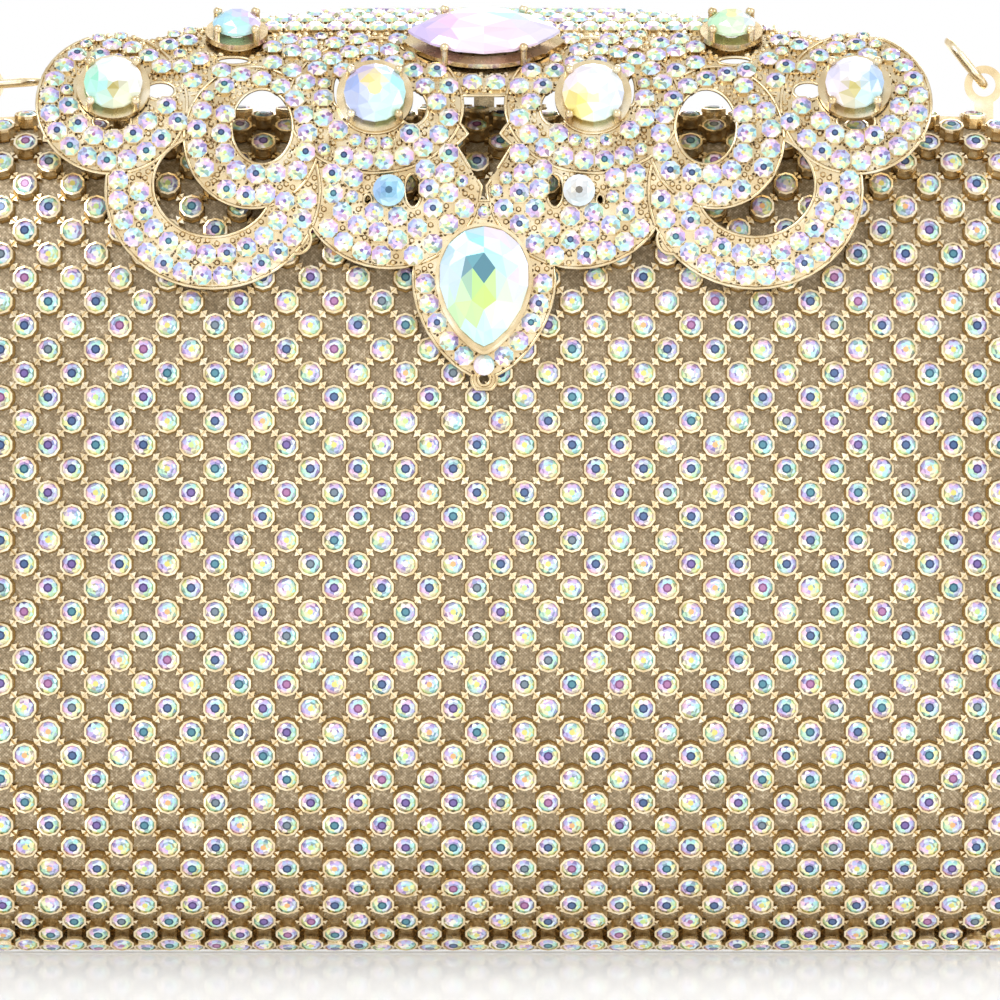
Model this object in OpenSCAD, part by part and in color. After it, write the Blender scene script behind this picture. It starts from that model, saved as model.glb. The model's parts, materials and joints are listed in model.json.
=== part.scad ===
// Evening clutch: a hard case in two halves, hinged along its bottom edge and skinned in
// rhinestone mesh, with a pave-set openwork clasp that arches over the top.
// X runs along the bag, the front faces -Y, and Z is up from the surface that it stands on.
// The seam between the halves is first drawn in the plane y = 0, and placed() moves it.

/* [Case] */
// Length of the case
case_w = 190; // [170:1:210]
// Height of the case, to the top of its mesh
case_h = 109; // [100:1:118]
// Depth of both halves together, over the mesh
case_d = 52; // [48:1:58]
// Height at which the case is deepest
belly_h = 50; // [45:1:55]
// Thickness of the rhinestone mesh
mesh_t = 2; // [1.6:0.1:2.4]
// Thickness of the cloth under the mesh
cloth_t = 0.4; // [0.3:0.05:0.6]
// Wall of the hard shell
shell_t = 1.4; // [1:0.1:2]
// Thickness of the lining
lining_t = 0.5; // [0.3:0.05:0.8]
// Thin gap left for glue between the layers
glue_gap = 0.1; // [0.05:0.05:0.2]

/* [Rims] */
// Depth of each metal rim, from the seam
rim_d = 3; // [2.5:0.1:4]
// Step of the rim below the mesh at the top and sides
rim_step = 1.5; // [1.2:0.1:1.8]
// Gap between the two rims at the seam
seam_gap = 0.3; // [0.2:0.05:0.6]
// Gap between a rim and the edge of the mesh
mesh_edge_gap = 0.2; // [0.1:0.05:0.4]

/* [Base] */
// Distance of the flat strip of mesh that the case stands on from each end of the case
base_end = 20; // [17:1:35]
// Width of that strip on each half
base_d = 5; // [4:0.1:6]

/* [Hinge] */
// Height of the hinge axis
hinge_z = 1.5; // [1.4:0.1:1.8]
// Outer radius of the knuckles
knuckle_r = 1.25; // [1.1:0.05:1.4]
// Radius of the hinge pins
hinge_pin_r = 0.6; // [0.5:0.05:0.7]
// Running clearance of a pin, on the radius
pin_clearance = 0.05; // [0.02:0.01:0.08]
// Distance of each hinge's middle from the end of the case
hinge_end = 50; // [40:1:60]
// Length of each hinge leaf
leaf_w = 16; // [12:1:20]
// Thickness of each hinge leaf
leaf_t = 0.8; // [0.6:0.1:1]

/* [Clasp casting] */
// Width of the openwork casting
clasp_w = 116; // [104:1:124]
// Height of the casting's pattern, seen from the front
clasp_h = 48; // [44:1:52]
// Drop of the lowest point of that pattern below the top of the case
clasp_drop = 36.4; // [35:0.1:41]
// Thickness of the casting
clasp_t = 2; // [1.6:0.1:2.4]
// Inner radius of the arch over the top of the case
arch_r = 22; // [21:0.5:24]
// Lean of the casting's straight front, in degrees
clasp_lean = 5.9; // [5:0.1:7]
// Gap between the casting's lower edge and the mesh behind it
clasp_gap = 0.3; // [0.3:0.1:1]

/* [Stones] */
// Diameter of the small stones set in the casting
pave_d = 2.5; // [2.2:0.1:2.8]
// Distance between the small stones on the crest
pave_pitch = 2.7; // [2.6:0.05:3.1]
// Distance between the small stones along a motif's outline
row_pitch = 2.6; // [2.55:0.05:3]
// Diameter of the two inner round stones
inner_stone_d = 7.9; // [6:0.1:8.4]
// Diameter of the two outer round stones
outer_stone_d = 7.5; // [6:0.1:8]
// Diameter of the two stones on the top ridge
top_stone_d = 6.1; // [5:0.1:6.5]
// Diameter of the two round stones beside the teardrop
small_stone_d = 4.1; // [3.4:0.1:4.4]
// Diameter of the stone at the casting's lower tip
drop_stone_d = 2.7; // [2.2:0.1:2.8]
// Length of the marquise stone
marquise_w = 19.4; // [17:0.1:21]
// Height of the marquise stone
marquise_h = 10; // [8.5:0.1:11]
// Width of the teardrop stone
teardrop_w = 11.5; // [10:0.1:12.5]
// Height of the teardrop stone
teardrop_h = 16; // [14:0.1:17]

/* [Clasp hinge and catch] */
// Height of the clasp's pin above the top of the case
clasp_pin_rise = 4.2; // [4:0.1:5]
// Distance of the clasp's pin behind the seam
clasp_pin_back = 2; // [1.5:0.1:2.5]
// Radius of the clasp's pin
clasp_pin_r = 0.8; // [0.6:0.05:0.9]
// Outer radius of the lever's knuckle
lever_r = 2; // [1.8:0.1:2.2]
// Width of the lever's knuckle
lever_w = 6.8; // [6:0.1:8]
// Thickness of each ear of the bracket
ear_t = 2; // [1.5:0.1:2.5]
// Width of the keeper's tongue
keeper_w = 2.6; // [2:0.1:3]

/* [Strap eyes and rings] */
// Distance of each strap eye from the end of the case
eye_end = 30.9; // [25:0.1:40]
// Outer radius of a strap eye
eye_r = 2.5; // [2.2:0.1:2.8]
// Radius of the hole in a strap eye
eye_hole_r = 1.5; // [1.4:0.05:1.6]
// Thickness of a strap eye
eye_t = 1.6; // [1.4:0.1:2]
// Length of a strap ring, outside
ring_l = 8.3; // [7.5:0.1:10]
// Width of a strap ring, outside
ring_w = 6; // [5.6:0.1:7]
// Thickness of a strap ring's wire
ring_wire_d = 1.15; // [1:0.05:1.3]
// Lean of the right strap ring from upright, in degrees
ring_lean_right = 39; // [0:1:80]
// Lean of the left strap ring from upright, in degrees
ring_lean_left = 86; // [0:1:88]

/* [Pocket] */
// Width of the slip pocket
pocket_w = 104; // [86:1:110]
// Height of the slip pocket
pocket_h = 48; // [40:1:50]

/* [Hidden] */
$fn = 48;
// Overrun of every cut past the face that it opens
cut = 1;

// Colours
gold = "#d9b872";
champagne = "#cbb389";
mesh_tint = "#d6cfd2";
cloth_tint = "#a88f63";
lining_tint = "#cdbb98";
steel = "#9a9a9c";
shell_tint = "#8f8778";
crystal = "#cfe3ee";

// The case's form: how square its outline is, and how full it is towards the top, bottom, sides
outline_power = 7;
belly_power = 2.6;
top_power = 3.4;
top_round_power = 0.31;
bottom_power = 2.4;
bottom_round_power = 0.5;
side_power = 3.3;
side_round_power = 0.4;
// Points round each skin, and rings from its edge to its middle
skin_sides = 48;
skin_rings = 8;
outline_sides = 96;

half_w = case_w / 2;
half_d = case_d / 2;
base_w = case_w - 2 * base_end;
hinge_x = half_w - hinge_end;
eye_x = half_w - eye_end;
clasp_low_z = case_h - clasp_drop;
top_h = case_h - belly_h;
cloth_in = mesh_t + glue_gap;
shell_in = cloth_in + cloth_t + glue_gap;
lining_in = shell_in + shell_t + glue_gap;
mesh_edge_y = rim_d + mesh_edge_gap;
shell_edge_y = rim_d + glue_gap / 2;
// The rims' bottom runs above the knuckles
rim_bottom_step = hinge_z + knuckle_r + pin_clearance;
rim_band = lining_in - rim_step;
rim_top_z = case_h - rim_step;

function side_weight(a) = pow(cos(a), 2);
function mix(a, b, share) = a + (b - a) * share;
function form_power(a) = mix(sin(a) > 0 ? top_power : bottom_power, side_power, side_weight(a));
function round_power(a) =
    mix(sin(a) > 0 ? top_round_power : bottom_round_power, side_round_power, side_weight(a));
function square_power(q) = mix(belly_power, outline_power, pow(q, 3));
function height_of(a) = sin(a) > 0 ? top_h : belly_h;

// A point of the case's form, set in by a distance: q is 0 at the middle and 1 at the outline
function form_point(inset, q, a) = let (n = square_power(q)) [
    sign(cos(a)) * (half_w - inset) * q * pow(abs(cos(a)), 2 / n),
    (half_d - inset) * pow(1 - pow(q, form_power(a)), round_power(a)),
    belly_h + sign(sin(a)) * (height_of(a) - inset) * q * pow(abs(sin(a)), 2 / n)];
// The q at which the form comes down to a distance from the seam
function edge_q(inset, y, a) =
    pow(1 - pow(y / (half_d - inset), 1 / round_power(a)), 1 / form_power(a));
// Half a step off the axes keeps every point clear of the corners of the formula
function skin_angle(i, n) = (i + 0.5) * 360 / n;

function skin_ring(inset, edge_y, share) = [for (i = [0:skin_sides - 1])
    let (a = skin_angle(i, skin_sides)) form_point(inset, edge_q(inset, edge_y, a) * share, a)];
function skin_points(inset, edge_y) = concat([[0, half_d - inset, belly_h]],
    [for (k = [1:skin_rings]) each skin_ring(inset, edge_y, sin(90 * k / skin_rings))]);

// Faces between two rings of points, and from a middle point to the first ring
function band_faces(near, far, n) = [for (i = [0:n - 1]) let (j = (i + 1) % n)
    each [[near + i, far + i, far + j], [near + i, far + j, near + j]]];
function fan_faces(centre, first, n) = [for (i = [0:n - 1])
    [centre, first + i, first + (i + 1) % n]];
function turned(faces) = [for (f = faces) [f[2], f[1], f[0]]];

// One thin bowl of the case, between two insets of its form, open at the seam side
module bowl(outer_in, thick, edge_y) {
    n = skin_sides;
    inner = 1 + n * skin_rings;
    last = 1 + n * (skin_rings - 1);
    outside = concat(fan_faces(0, 1, n),
        [for (k = [0:skin_rings - 2]) each band_faces(1 + k * n, 1 + (k + 1) * n, n)]);
    inside = [for (f = turned(outside)) [for (p = f) p + inner]];
    polyhedron(concat(skin_points(outer_in, edge_y), skin_points(outer_in + thick, edge_y)),
        concat(outside, inside, band_faces(last, inner + last, n)));
}

// The room inside the case's form at an inset, closed flat at its edge
module room_form(inset, edge_y) {
    n = skin_sides;
    last = 1 + n * (skin_rings - 1);
    outside = concat(fan_faces(0, 1, n),
        [for (k = [0:skin_rings - 2]) each band_faces(1 + k * n, 1 + (k + 1) * n, n)]);
    lid = [for (i = [1:n - 2]) [last, last + i + 1, last + i]];
    polyhedron(skin_points(inset, edge_y), concat(outside, lid));
}

// The outline of the case as seen from the front, set in by one distance, and by another below
function outline(inset, low_inset) = [for (i = [0:outline_sides - 1])
    let (a = skin_angle(i, outline_sides), e = 2 / outline_power) [
        sign(cos(a)) * (half_w - inset) * pow(abs(cos(a)), e),
        belly_h + (sin(a) > 0 ? top_h - inset : low_inset - belly_h) * pow(abs(sin(a)), e)]];

// The front half is the back half's mirror image
module half(front) {
    mirror([0, front ? 1 : 0, 0]) children();
}
// A flat shape in x and z, thickened along y
module along_y(low, high) {
    translate([0, high, 0]) rotate([90, 0, 0]) linear_extrude(high - low) children();
}
// A flat shape in y and z, thickened along x about its middle
module along_x(length) {
    rotate([90, 0, 90]) linear_extrude(length, center = true) children();
}
module both_sides(x) {
    for (side = [-1, 1]) translate([side * x, 0, 0]) children();
}

// Case

module mesh_skin(front) {
    color(mesh_tint) half(front) difference() {
        bowl(0, mesh_t, mesh_edge_y);
        translate([-case_w, 0, -cut]) cube([2 * case_w, case_d, cut + mesh_t]);
    }
}
module base_mesh(front) {
    color(mesh_tint) half(front) translate([-base_w / 2, mesh_edge_y, 0])
        cube([base_w, base_d, mesh_t - glue_gap]);
}
module cloth_skin(front) {
    color(cloth_tint) half(front) bowl(cloth_in, cloth_t, mesh_edge_y);
}
module shell(front) {
    color(shell_tint) half(front) bowl(shell_in, shell_t, shell_edge_y);
}
module lining(front) {
    color(lining_tint) half(front) bowl(lining_in, lining_t, shell_edge_y);
}
module rim(front) {
    leaf_pocket_h = 2 * rim_bottom_step + rim_band;
    color(gold) half(front) difference() {
        along_y(seam_gap / 2, rim_d) difference() {
            polygon(outline(rim_step, rim_bottom_step));
            polygon(outline(rim_step + rim_band, rim_bottom_step + rim_band));
        }
        both_sides(hinge_x)
            translate([-leaf_w / 2 - pin_clearance, -cut, -rim_bottom_step])
            cube([leaf_w + 2 * pin_clearance, cut + seam_gap / 2 + leaf_t + pin_clearance,
                leaf_pocket_h]);
    }
}

pocket_t = 1.2;
pocket_low_z = 28;
// How far the pocket's front stands off the deepest part of the lining
pocket_room = 3.2;
pocket_y = half_d - lining_in - lining_t - pocket_room - pocket_t;
module slip_pocket() {
    color(lining_tint) intersection() {
        translate([-pocket_w / 2, pocket_y, pocket_low_z]) difference() {
            cube([pocket_w, half_d, pocket_h]);
            translate([pocket_t, pocket_t, pocket_t])
                cube([pocket_w - 2 * pocket_t, half_d, pocket_h]);
        }
        room_form(lining_in + lining_t + glue_gap, shell_edge_y);
    }
}

// Bottom hinge

leaf_top_z = rim_bottom_step + rim_band;
knuckle_gap = 0.1;
knuckle_w = leaf_w / 3;
module hinge_leaf_form(front) {
    y = seam_gap / 2;
    difference() {
        union() {
            translate([-leaf_w / 2, y, hinge_z + knuckle_r + pin_clearance])
                cube([leaf_w, leaf_t, leaf_top_z - hinge_z - knuckle_r - pin_clearance]);
            if (front) hinge_knuckle(y, 0, knuckle_w - 2 * knuckle_gap);
            if (!front) for (side = [-1, 1]) hinge_knuckle(y, side * knuckle_w, knuckle_w);
        }
        translate([0, 0, hinge_z]) rotate([0, 90, 0])
            cylinder(h = leaf_w + 2 * cut, r = hinge_pin_r + pin_clearance, center = true);
    }
}
module hinge_knuckle(y, x, length) {
    translate([x, 0, hinge_z]) along_x(length) {
        circle(r = knuckle_r);
        translate([y, 0]) square([leaf_t, knuckle_r + 2 * pin_clearance]);
    }
}
module hinge_leaves(front) {
    color(gold) both_sides(hinge_x) half(front) hinge_leaf_form(front);
}
module hinge_pins() {
    color(steel) both_sides(hinge_x) translate([0, 0, hinge_z]) rotate([0, 90, 0])
        cylinder(h = leaf_w, r = hinge_pin_r, center = true);
}

// Form of the clasp: an arch over the case and a straight front that leans against it

clasp_tip_back_y = -(form_depth_at(clasp_low_z) + clasp_gap);
// Depth of the case's form on its middle line, at a height above the belly
function form_depth_at(z) =
    half_d * pow(1 - pow((z - belly_h) / top_h, top_power), top_round_power);
arch_outer_r = arch_r + clasp_t;
// How far below the top of the case the straight front runs into the arch
arch_start_drop = 10.464;
arch_start_z = case_h - arch_start_drop;
arch_y = clasp_tip_back_y + (arch_start_z - clasp_low_z) * tan(clasp_lean)
    + arch_r * cos(clasp_lean);
arch_z = arch_start_z - arch_r * sin(clasp_lean);
// How far below the pattern the straight front runs, and how far behind the crest the arch runs
clasp_low_overrun = 3;
arch_back = 4.5;
half_clasp = clasp_w / 2;

// Height of a place in the pattern, given as a share of the pattern's height
function pattern_z(share) = clasp_low_z + share * clasp_h;
// Angle of the casting's surface normal above level, at a height and a distance off the arch's centre
function normal_angle(z, r) = z < arch_z + r * sin(clasp_lean) ? clasp_lean
    : asin(min(1, (z - arch_z) / r));
// y of the surface that lies a distance r from the arch's centre line, at a height
function surface_y(z, r) = z < arch_z + r * sin(clasp_lean)
    ? arch_y - r / cos(clasp_lean) + (z - arch_z) * tan(clasp_lean)
    : arch_y - r * cos(normal_angle(z, r));

// The same surface unrolled: distance along it, from the pattern's lowest level, for a height;
// and the angle of its normal, and the place on it, for such a distance
degree = PI / 180;
straight_l = (arch_z + arch_outer_r * sin(clasp_lean) - clasp_low_z) / cos(clasp_lean);
function along(z, r) = z < arch_z + r * sin(clasp_lean) ? (z - clasp_low_z) / cos(clasp_lean)
    : straight_l + arch_outer_r * degree * (normal_angle(z, r) - clasp_lean);
function face_angle(s) = clasp_lean + max(0, s - straight_l) / arch_outer_r / degree;
function face_place(x, s) = let (a = face_angle(s), over = min(0, s - straight_l)) [x,
    arch_y - arch_outer_r * cos(a) + over * sin(clasp_lean),
    arch_z + arch_outer_r * sin(a) + over * cos(clasp_lean)];

module arch_profile() {
    low = [0, -(arch_z - clasp_low_z + clasp_low_overrun) / cos(clasp_lean)];
    back_angle = 90 - asin(arch_back / arch_outer_r);
    reach = 2 * arch_outer_r;
    translate([arch_y, arch_z]) {
        intersection() {
            difference() {
                circle(r = arch_outer_r, $fn = 96);
                circle(r = arch_r, $fn = 96);
            }
            polygon([[0, 0], reach * [cos(back_angle), sin(back_angle)], [0, reach],
                [-reach, reach], reach * [-cos(clasp_lean), sin(clasp_lean)]]);
        }
        rotate(-clasp_lean) translate([-arch_outer_r, low.y])
            square([clasp_t, -low.y]);
    }
}

// Front pattern of the casting, as shares of its half width and height, with the bag's middle at 0.
// Each ellipse is its middle across and up, and its radii across and up.
ear_shares = [0.818, 0.748, 0.165, 0.186];
swag_shares = [0.596, 0.517, 0.235, 0.26];
crescent_shares = [0.51, 0.658, 0.149, 0.188];
loop_shares = [0.24, 0.743, 0.193, 0.18];
apron_shares = [0.207, 0.544, 0.202, 0.233];
swag_end_shares = [0.411, 0.387, 0.031, 0.038];
ridge_shares = [0, 0.65, 0.967, 0.35];
ridge_inner_shares = [0, 0.65, 0.879, 0.12];
ridge_power = 2.6;
swag_hole_shares = [0.596, 0.531, 0.132, 0.138];
eye_hole_shares = [[0.818, 0.7, 0.042, 0.027], [0.712, 0.782, 0.033, 0.024],
    [0.552, 0.862, 0.037, 0.011], [0.488, 0.687, 0.068, 0.101], [0.323, 0.782, 0.011, 0.04],
    [0.156, 0.737, 0.033, 0.048], [0.156, 0.517, 0.019, 0.045], [0.255, 0.491, 0.009, 0.016]];
diamond_shares = [[0, 0.708], [0.062, 0.637], [0, 0.517], [-0.062, 0.637]];
diamond_room_shares = [0, 0.612, 0.062, 0.096];
// Middles of the stones, in the same shares
inner_stone_shares = [0.24, 0.777];
outer_stone_shares = [0.815, 0.804];
top_stone_shares = [0.545, 0.963];
small_stone_shares = [0.209, 0.517];
teardrop_shares = [0, 0.255];
marquise_shares = [0, 0.942];
drop_stone_shares = [0, 0.053];
tip_ring_shares = [0, 0.016];
// Widest point of the teardrop formula, so that its width can be set
teardrop_fullness = 0.46;
teardrop_widest_share = 0.871;

function ellipse(shares, power = 2) = [for (i = [0:47]) let (a = i * 360 / 48) [
    half_clasp * (shares[0] + sign(cos(a)) * shares[2] * pow(abs(cos(a)), 2 / power)),
    pattern_z(shares[1] + sign(sin(a)) * shares[3] * pow(abs(sin(a)), 2 / power))]];
function teardrop(w, h, steps = 36) = [for (i = [0:steps - 1]) let (a = i * 360 / steps)
    [w / 2 / teardrop_widest_share * sin(a) * pow(abs(sin(a / 2)), teardrop_fullness),
        -h / 2 * cos(a)]];
// The same outline grown evenly by a distance
function grown(points, by) = let (n = len(points)) [for (i = [0:n - 1])
    let (t = points[(i + 1) % n] - points[(i + n - 1) % n]) points[i] + by * [t.y, -t.x] / norm(t)];
function place(shares) = [half_clasp * shares[0], pattern_z(shares[1])];

bezel_wall = 0.45;
teardrop_frame = 3.3;
tip_lobe_r = 1.9;
tip_ring_r = 1.6;
tip_ring_hole_r = 0.8;

module pattern_half() {
    difference() {
        union() {
            for (shares = [ear_shares, swag_shares, swag_end_shares, crescent_shares,
                loop_shares, apron_shares]) polygon(ellipse(shares));
            difference() {
                polygon(ellipse(ridge_shares, ridge_power));
                polygon(ellipse(ridge_inner_shares, ridge_power));
                translate([-clasp_w, 0]) square([clasp_w, 2 * case_h]);
                translate([0, 0]) square([clasp_w, pattern_z(ridge_shares[1])]);
            }
        }
        difference() {
            polygon(ellipse(swag_hole_shares));
            polygon(ellipse(crescent_shares));
        }
        for (shares = eye_hole_shares) polygon(ellipse(shares));
    }
}
module pattern() {
    difference() {
        union() {
            pattern_half();
            mirror([1, 0]) pattern_half();
            translate(place(teardrop_shares))
                polygon(grown(teardrop(teardrop_w, teardrop_h), teardrop_frame));
            translate(place(drop_stone_shares)) circle(r = tip_lobe_r);
            translate(place(tip_ring_shares)) circle(r = tip_ring_r);
        }
        polygon([for (shares = diamond_shares) place(shares)]);
        translate(place(tip_ring_shares)) circle(r = tip_ring_hole_r);
    }
}

// Stones and their baskets. Each is drawn with its girdle in the plane z = 0 and its table up.

girdle_t = 0.4;
crown_share = 0.22;
pavilion_share = 0.3;
table_share = 0.56;
culet_share = 0.12;
basket_wall = 0.9;
gallery_w = 1.4;
basket_in = 0.2;
claw_r = 0.45;
claw_gap = 0.05;
claw_rise = 0.55;
gallery_t = 0.7;
gallery_drop = 1;
basket_depth = 3.2;
seat_clearance = 0.03;
// Height of the girdles above the casting's face
large_lift = 2.1;
small_lift = 1.2;
teardrop_lift = 0.9;
teardrop_base_t = 0.5;

// How far each stone faces up, in degrees from level
inner_tilt = 21;
outer_tilt = 30;
top_tilt = 61;
small_tilt = 6;
marquise_tilt = 56;

// Puts a piece drawn about the origin on the casting, lifted off its face and tilted up
module on_casting(shares, tilt, lift) {
    z = pattern_z(shares[1]);
    foot = place(shares);
    r = arch_outer_r + lift;
    translate([foot.x, surface_y(z, r), foot.y]) rotate([90 - tilt, 0, 0]) children();
}
module pair(shares, tilt, lift) {
    on_casting(shares, tilt, lift) children();
    on_casting([-shares[0], shares[1]], tilt, lift) children();
}
module round_stone(d) {
    r = d / 2;
    rotate_extrude() polygon([[0, -pavilion_share * d], [r * culet_share, -pavilion_share * d],
        [r, -girdle_t / 2], [r, girdle_t / 2], [r * table_share, crown_share * d],
        [0, crown_share * d]]);
}
// The basket of a round stone: a tube under it, a gallery ring and four claws beside it
module round_basket(d, turn) {
    r = d / 2;
    foot_r = r - basket_in;
    difference() {
        union() {
            translate([0, 0, -basket_depth]) cylinder(h = basket_depth - gallery_drop, r = foot_r);
            translate([0, 0, -gallery_drop - gallery_t])
                cylinder(h = gallery_t, r = r + claw_gap + 2 * claw_r);
            for (k = [0:3]) rotate(turn + 90 * k)
                translate([r + claw_gap + claw_r, 0, -gallery_drop - gallery_t])
                cylinder(h = gallery_drop + gallery_t + claw_rise, r = claw_r, $fn = 24);
        }
        translate([0, 0, -basket_depth - cut])
            cylinder(h = basket_depth + cut, r = foot_r - basket_wall);
        // Room for the stone's lower cone
        translate([0, 0, -pavilion_share * d])
            cylinder(h = pavilion_share * d, r1 = r * culet_share + claw_gap, r2 = r + claw_gap);
    }
}
// The room that a round basket takes out of the casting
module round_seat(d) {
    r = d / 2;
    translate([0, 0, -2 * basket_depth])
        cylinder(h = 2 * basket_depth, r = r - basket_in + seat_clearance);
    translate([0, 0, -gallery_drop - gallery_t - seat_clearance])
        cylinder(h = basket_depth, r = r + claw_gap + 2 * claw_r + seat_clearance);
}
// A pointed oval: what two circles share, each grown by a distance
function vesica_r(w, h) = (w * w + h * h) / (4 * h);
module vesica(w, h, grow = 0) {
    r = vesica_r(w, h);
    intersection() {
        translate([0, h / 2 - r]) circle(r = r + grow, $fn = 96);
        translate([0, r - h / 2]) circle(r = r + grow, $fn = 96);
    }
}
marquise_crown = 1.9;
marquise_pavilion = 1.4;
marquise_table_share = 0.6;
module marquise_stone_form() {
    w = marquise_w;
    h = marquise_h;
    hull() {
        translate([0, 0, -girdle_t / 2]) linear_extrude(girdle_t) vesica(w, h);
        translate([0, 0, marquise_crown - girdle_t / 2]) linear_extrude(girdle_t / 2)
            vesica(w * marquise_table_share, h * marquise_table_share);
        translate([0, 0, -marquise_pavilion]) linear_extrude(girdle_t / 2)
            vesica(w * marquise_table_share, h * marquise_table_share);
    }
}
module marquise_seat_form(grow) {
    translate([0, 0, -marquise_pavilion - gallery_t - grow]) linear_extrude(basket_depth + grow)
        vesica(marquise_w, marquise_h, claw_gap + 2 * claw_r + grow);
}
marquise_claw_share = 0.26;
module marquise_basket_form() {
    grow = claw_gap + claw_r;
    translate([0, 0, -marquise_pavilion - gallery_t]) linear_extrude(gallery_t - claw_gap)
        difference() {
            vesica(marquise_w, marquise_h, grow);
            vesica(marquise_w, marquise_h, -gallery_w);
        }
    // The claws stand on the gallery's edge, just clear of the stone
    claw_x = marquise_w * marquise_claw_share;
    r = vesica_r(marquise_w, marquise_h);
    claw_y = marquise_h / 2 - r + sqrt(pow(r + grow, 2) - pow(claw_x, 2));
    for (sx = [-1, 1], sy = [-1, 1])
        translate([sx * claw_x, sy * claw_y, -marquise_pavilion - gallery_t])
        cylinder(h = marquise_pavilion + gallery_t + claw_rise, r = claw_r, $fn = 24);
}
teardrop_crown = 1.7;
module teardrop_stone_form() {
    w = teardrop_w;
    h = teardrop_h;
    hull() {
        translate([0, 0, -girdle_t]) linear_extrude(2 * girdle_t) polygon(teardrop(w, h));
        translate([0, 0, teardrop_crown - girdle_t]) linear_extrude(girdle_t)
            polygon(teardrop(w * table_share, h * table_share));
    }
}
module teardrop_bezel_form() {
    low = -teardrop_lift;
    translate([0, 0, low]) linear_extrude(teardrop_lift + girdle_t) difference() {
        polygon(grown(teardrop(teardrop_w, teardrop_h), bezel_wall));
        polygon(grown(teardrop(teardrop_w, teardrop_h), claw_gap));
    }
    translate([0, 0, low]) linear_extrude(teardrop_base_t - claw_gap)
        polygon(grown(teardrop(teardrop_w, teardrop_h), claw_gap));
}

// Rows of small stones on one side. Each follows the outline of a motif, set in by a number of
// rows, from one angle round to another.
row_inset = 1.55;
row_step = 2.75;
pave_rows = [
    [swag_shares, 0, 186, 380], [swag_shares, 1, 190, 372], [swag_end_shares, 0, 240, 330],
    [ear_shares, 0, -142, 146], [ear_shares, 1, -150, 60], [crescent_shares, 0, 60, 300],
    [crescent_shares, 0, -52, 50], [crescent_shares, 1, 170, 310], [loop_shares, 0, -48, 128],
    [loop_shares, 0, 212, 300], [loop_shares, 1, 190, 322], [apron_shares, 0, -84, 48],
    [apron_shares, 1, -56, 60], [apron_shares, 2, -30, 76]];
ridge_rows = [[0, 28, 58], [1, 30, 60], [2, 34, 62]];
pave_h = 0.7;
pave_seat = 0.05;
pave_gap = 0.02;
// Rows along the crest, by the angle of the face above level
crest_angle = 66;
crest_row_step = pave_pitch / arch_outer_r / degree;
crest_rows = 6;
// How far a small stone may overhang the edge of a hole
pave_overhang = 0.35;
// Step of the search for free places, and how far a stone found there keeps from an outline
search_step = 0.5;
search_margin = 1.15;
// Distance of the stones round the teardrop from its edge, and fine steps along that line
teardrop_row_out = 1.75;
teardrop_row_steps = 180;

// Height of the ridge's upper edge at a distance from the middle
function ridge_top_z(x) = let (s = ridge_shares) pattern_z(s[1] + s[3]
    * pow(max(0, 1 - pow(x / half_clasp / s[2], ridge_power)), 1 / ridge_power));
// A place on an outline that is set in by a distance: across, and along the face
function row_place(shares, inset, a, power) = let (e = 2 / power,
    x = half_clasp * shares[0] + sign(cos(a)) * (half_clasp * shares[2] - inset)
        * pow(abs(cos(a)), e),
    z = pattern_z(shares[1]) + sign(sin(a)) * (clasp_h * shares[3] - inset)
        * pow(abs(sin(a)), e)) [x, along(z, arch_outer_r)];
// Places one pitch apart along such a row, from one angle to another
function walk(shares, inset, a, last, power = 2) = a > last ? []
    : let (here = row_place(shares, inset, a, power), ahead = row_place(shares, inset, a + 1, power))
    concat([here], walk(shares, inset, a + row_pitch / norm(ahead - here), last, power));
row_places = [for (row = pave_rows)
    each walk(row[0], row_inset + row[1] * row_step, row[2], row[3])];
// A line round the teardrop at a distance from its edge, laid on the face
function teardrop_line(out) = let (foot = place(teardrop_shares))
    [for (p = grown(teardrop(teardrop_w, teardrop_h, teardrop_row_steps), out))
    [p.x, along(foot.y + p.y, arch_outer_r)]];
teardrop_middle = along(pattern_z(teardrop_shares[1]), arch_outer_r);
teardrop_places = [for (p = teardrop_line(teardrop_row_out))
    if (p.x > 0 && p.y < teardrop_middle + teardrop_row_out) p];
bezel_line = teardrop_line(bezel_wall);
function clears_bezel(p) = let (far = pave_d / 2 + pave_gap)
    len([for (b = bezel_line) if (norm(p - b) < far) 1]) == 0;
ridge_places = [for (row = ridge_rows)
    each walk(ridge_shares, row_inset + row[0] * row_step, row[1], row[2], ridge_power)];
crest_places = [for (k = [0:crest_rows - 1], i = [0:floor(half_clasp / pave_pitch)])
    let (a = crest_angle + k * crest_row_step, x = (i + (k % 2) / 2) * pave_pitch)
    if (ridge_top_z(x + pave_d / 2) > arch_z + arch_outer_r * sin(a))
    [x, straight_l + arch_outer_r * degree * (a - clasp_lean)]];

// Places that the small stones keep off: across, along the face, and two radii
function room(shares, lift, rx, rs) =
    [half_clasp * shares[0], along(pattern_z(shares[1]), arch_outer_r + lift), rx, rs];
function round_room(shares, r, lift) = room(shares, lift, r, r);
basket_reach = claw_gap + 2 * claw_r;
stone_rooms = [
    round_room(inner_stone_shares, inner_stone_d / 2 + basket_reach, large_lift),
    round_room(outer_stone_shares, outer_stone_d / 2 + basket_reach, large_lift),
    round_room(top_stone_shares, top_stone_d / 2 + basket_reach, large_lift),
    round_room(small_stone_shares, small_stone_d / 2 + pave_gap, small_lift),
    round_room(drop_stone_shares, drop_stone_d / 2 + pave_gap, pave_seat),
    room(marquise_shares, large_lift, marquise_w / 2, marquise_h / 2),
    room(teardrop_shares, 0, teardrop_w / 2 - bezel_wall, teardrop_h / 2 - 2 * bezel_wall)];
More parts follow.
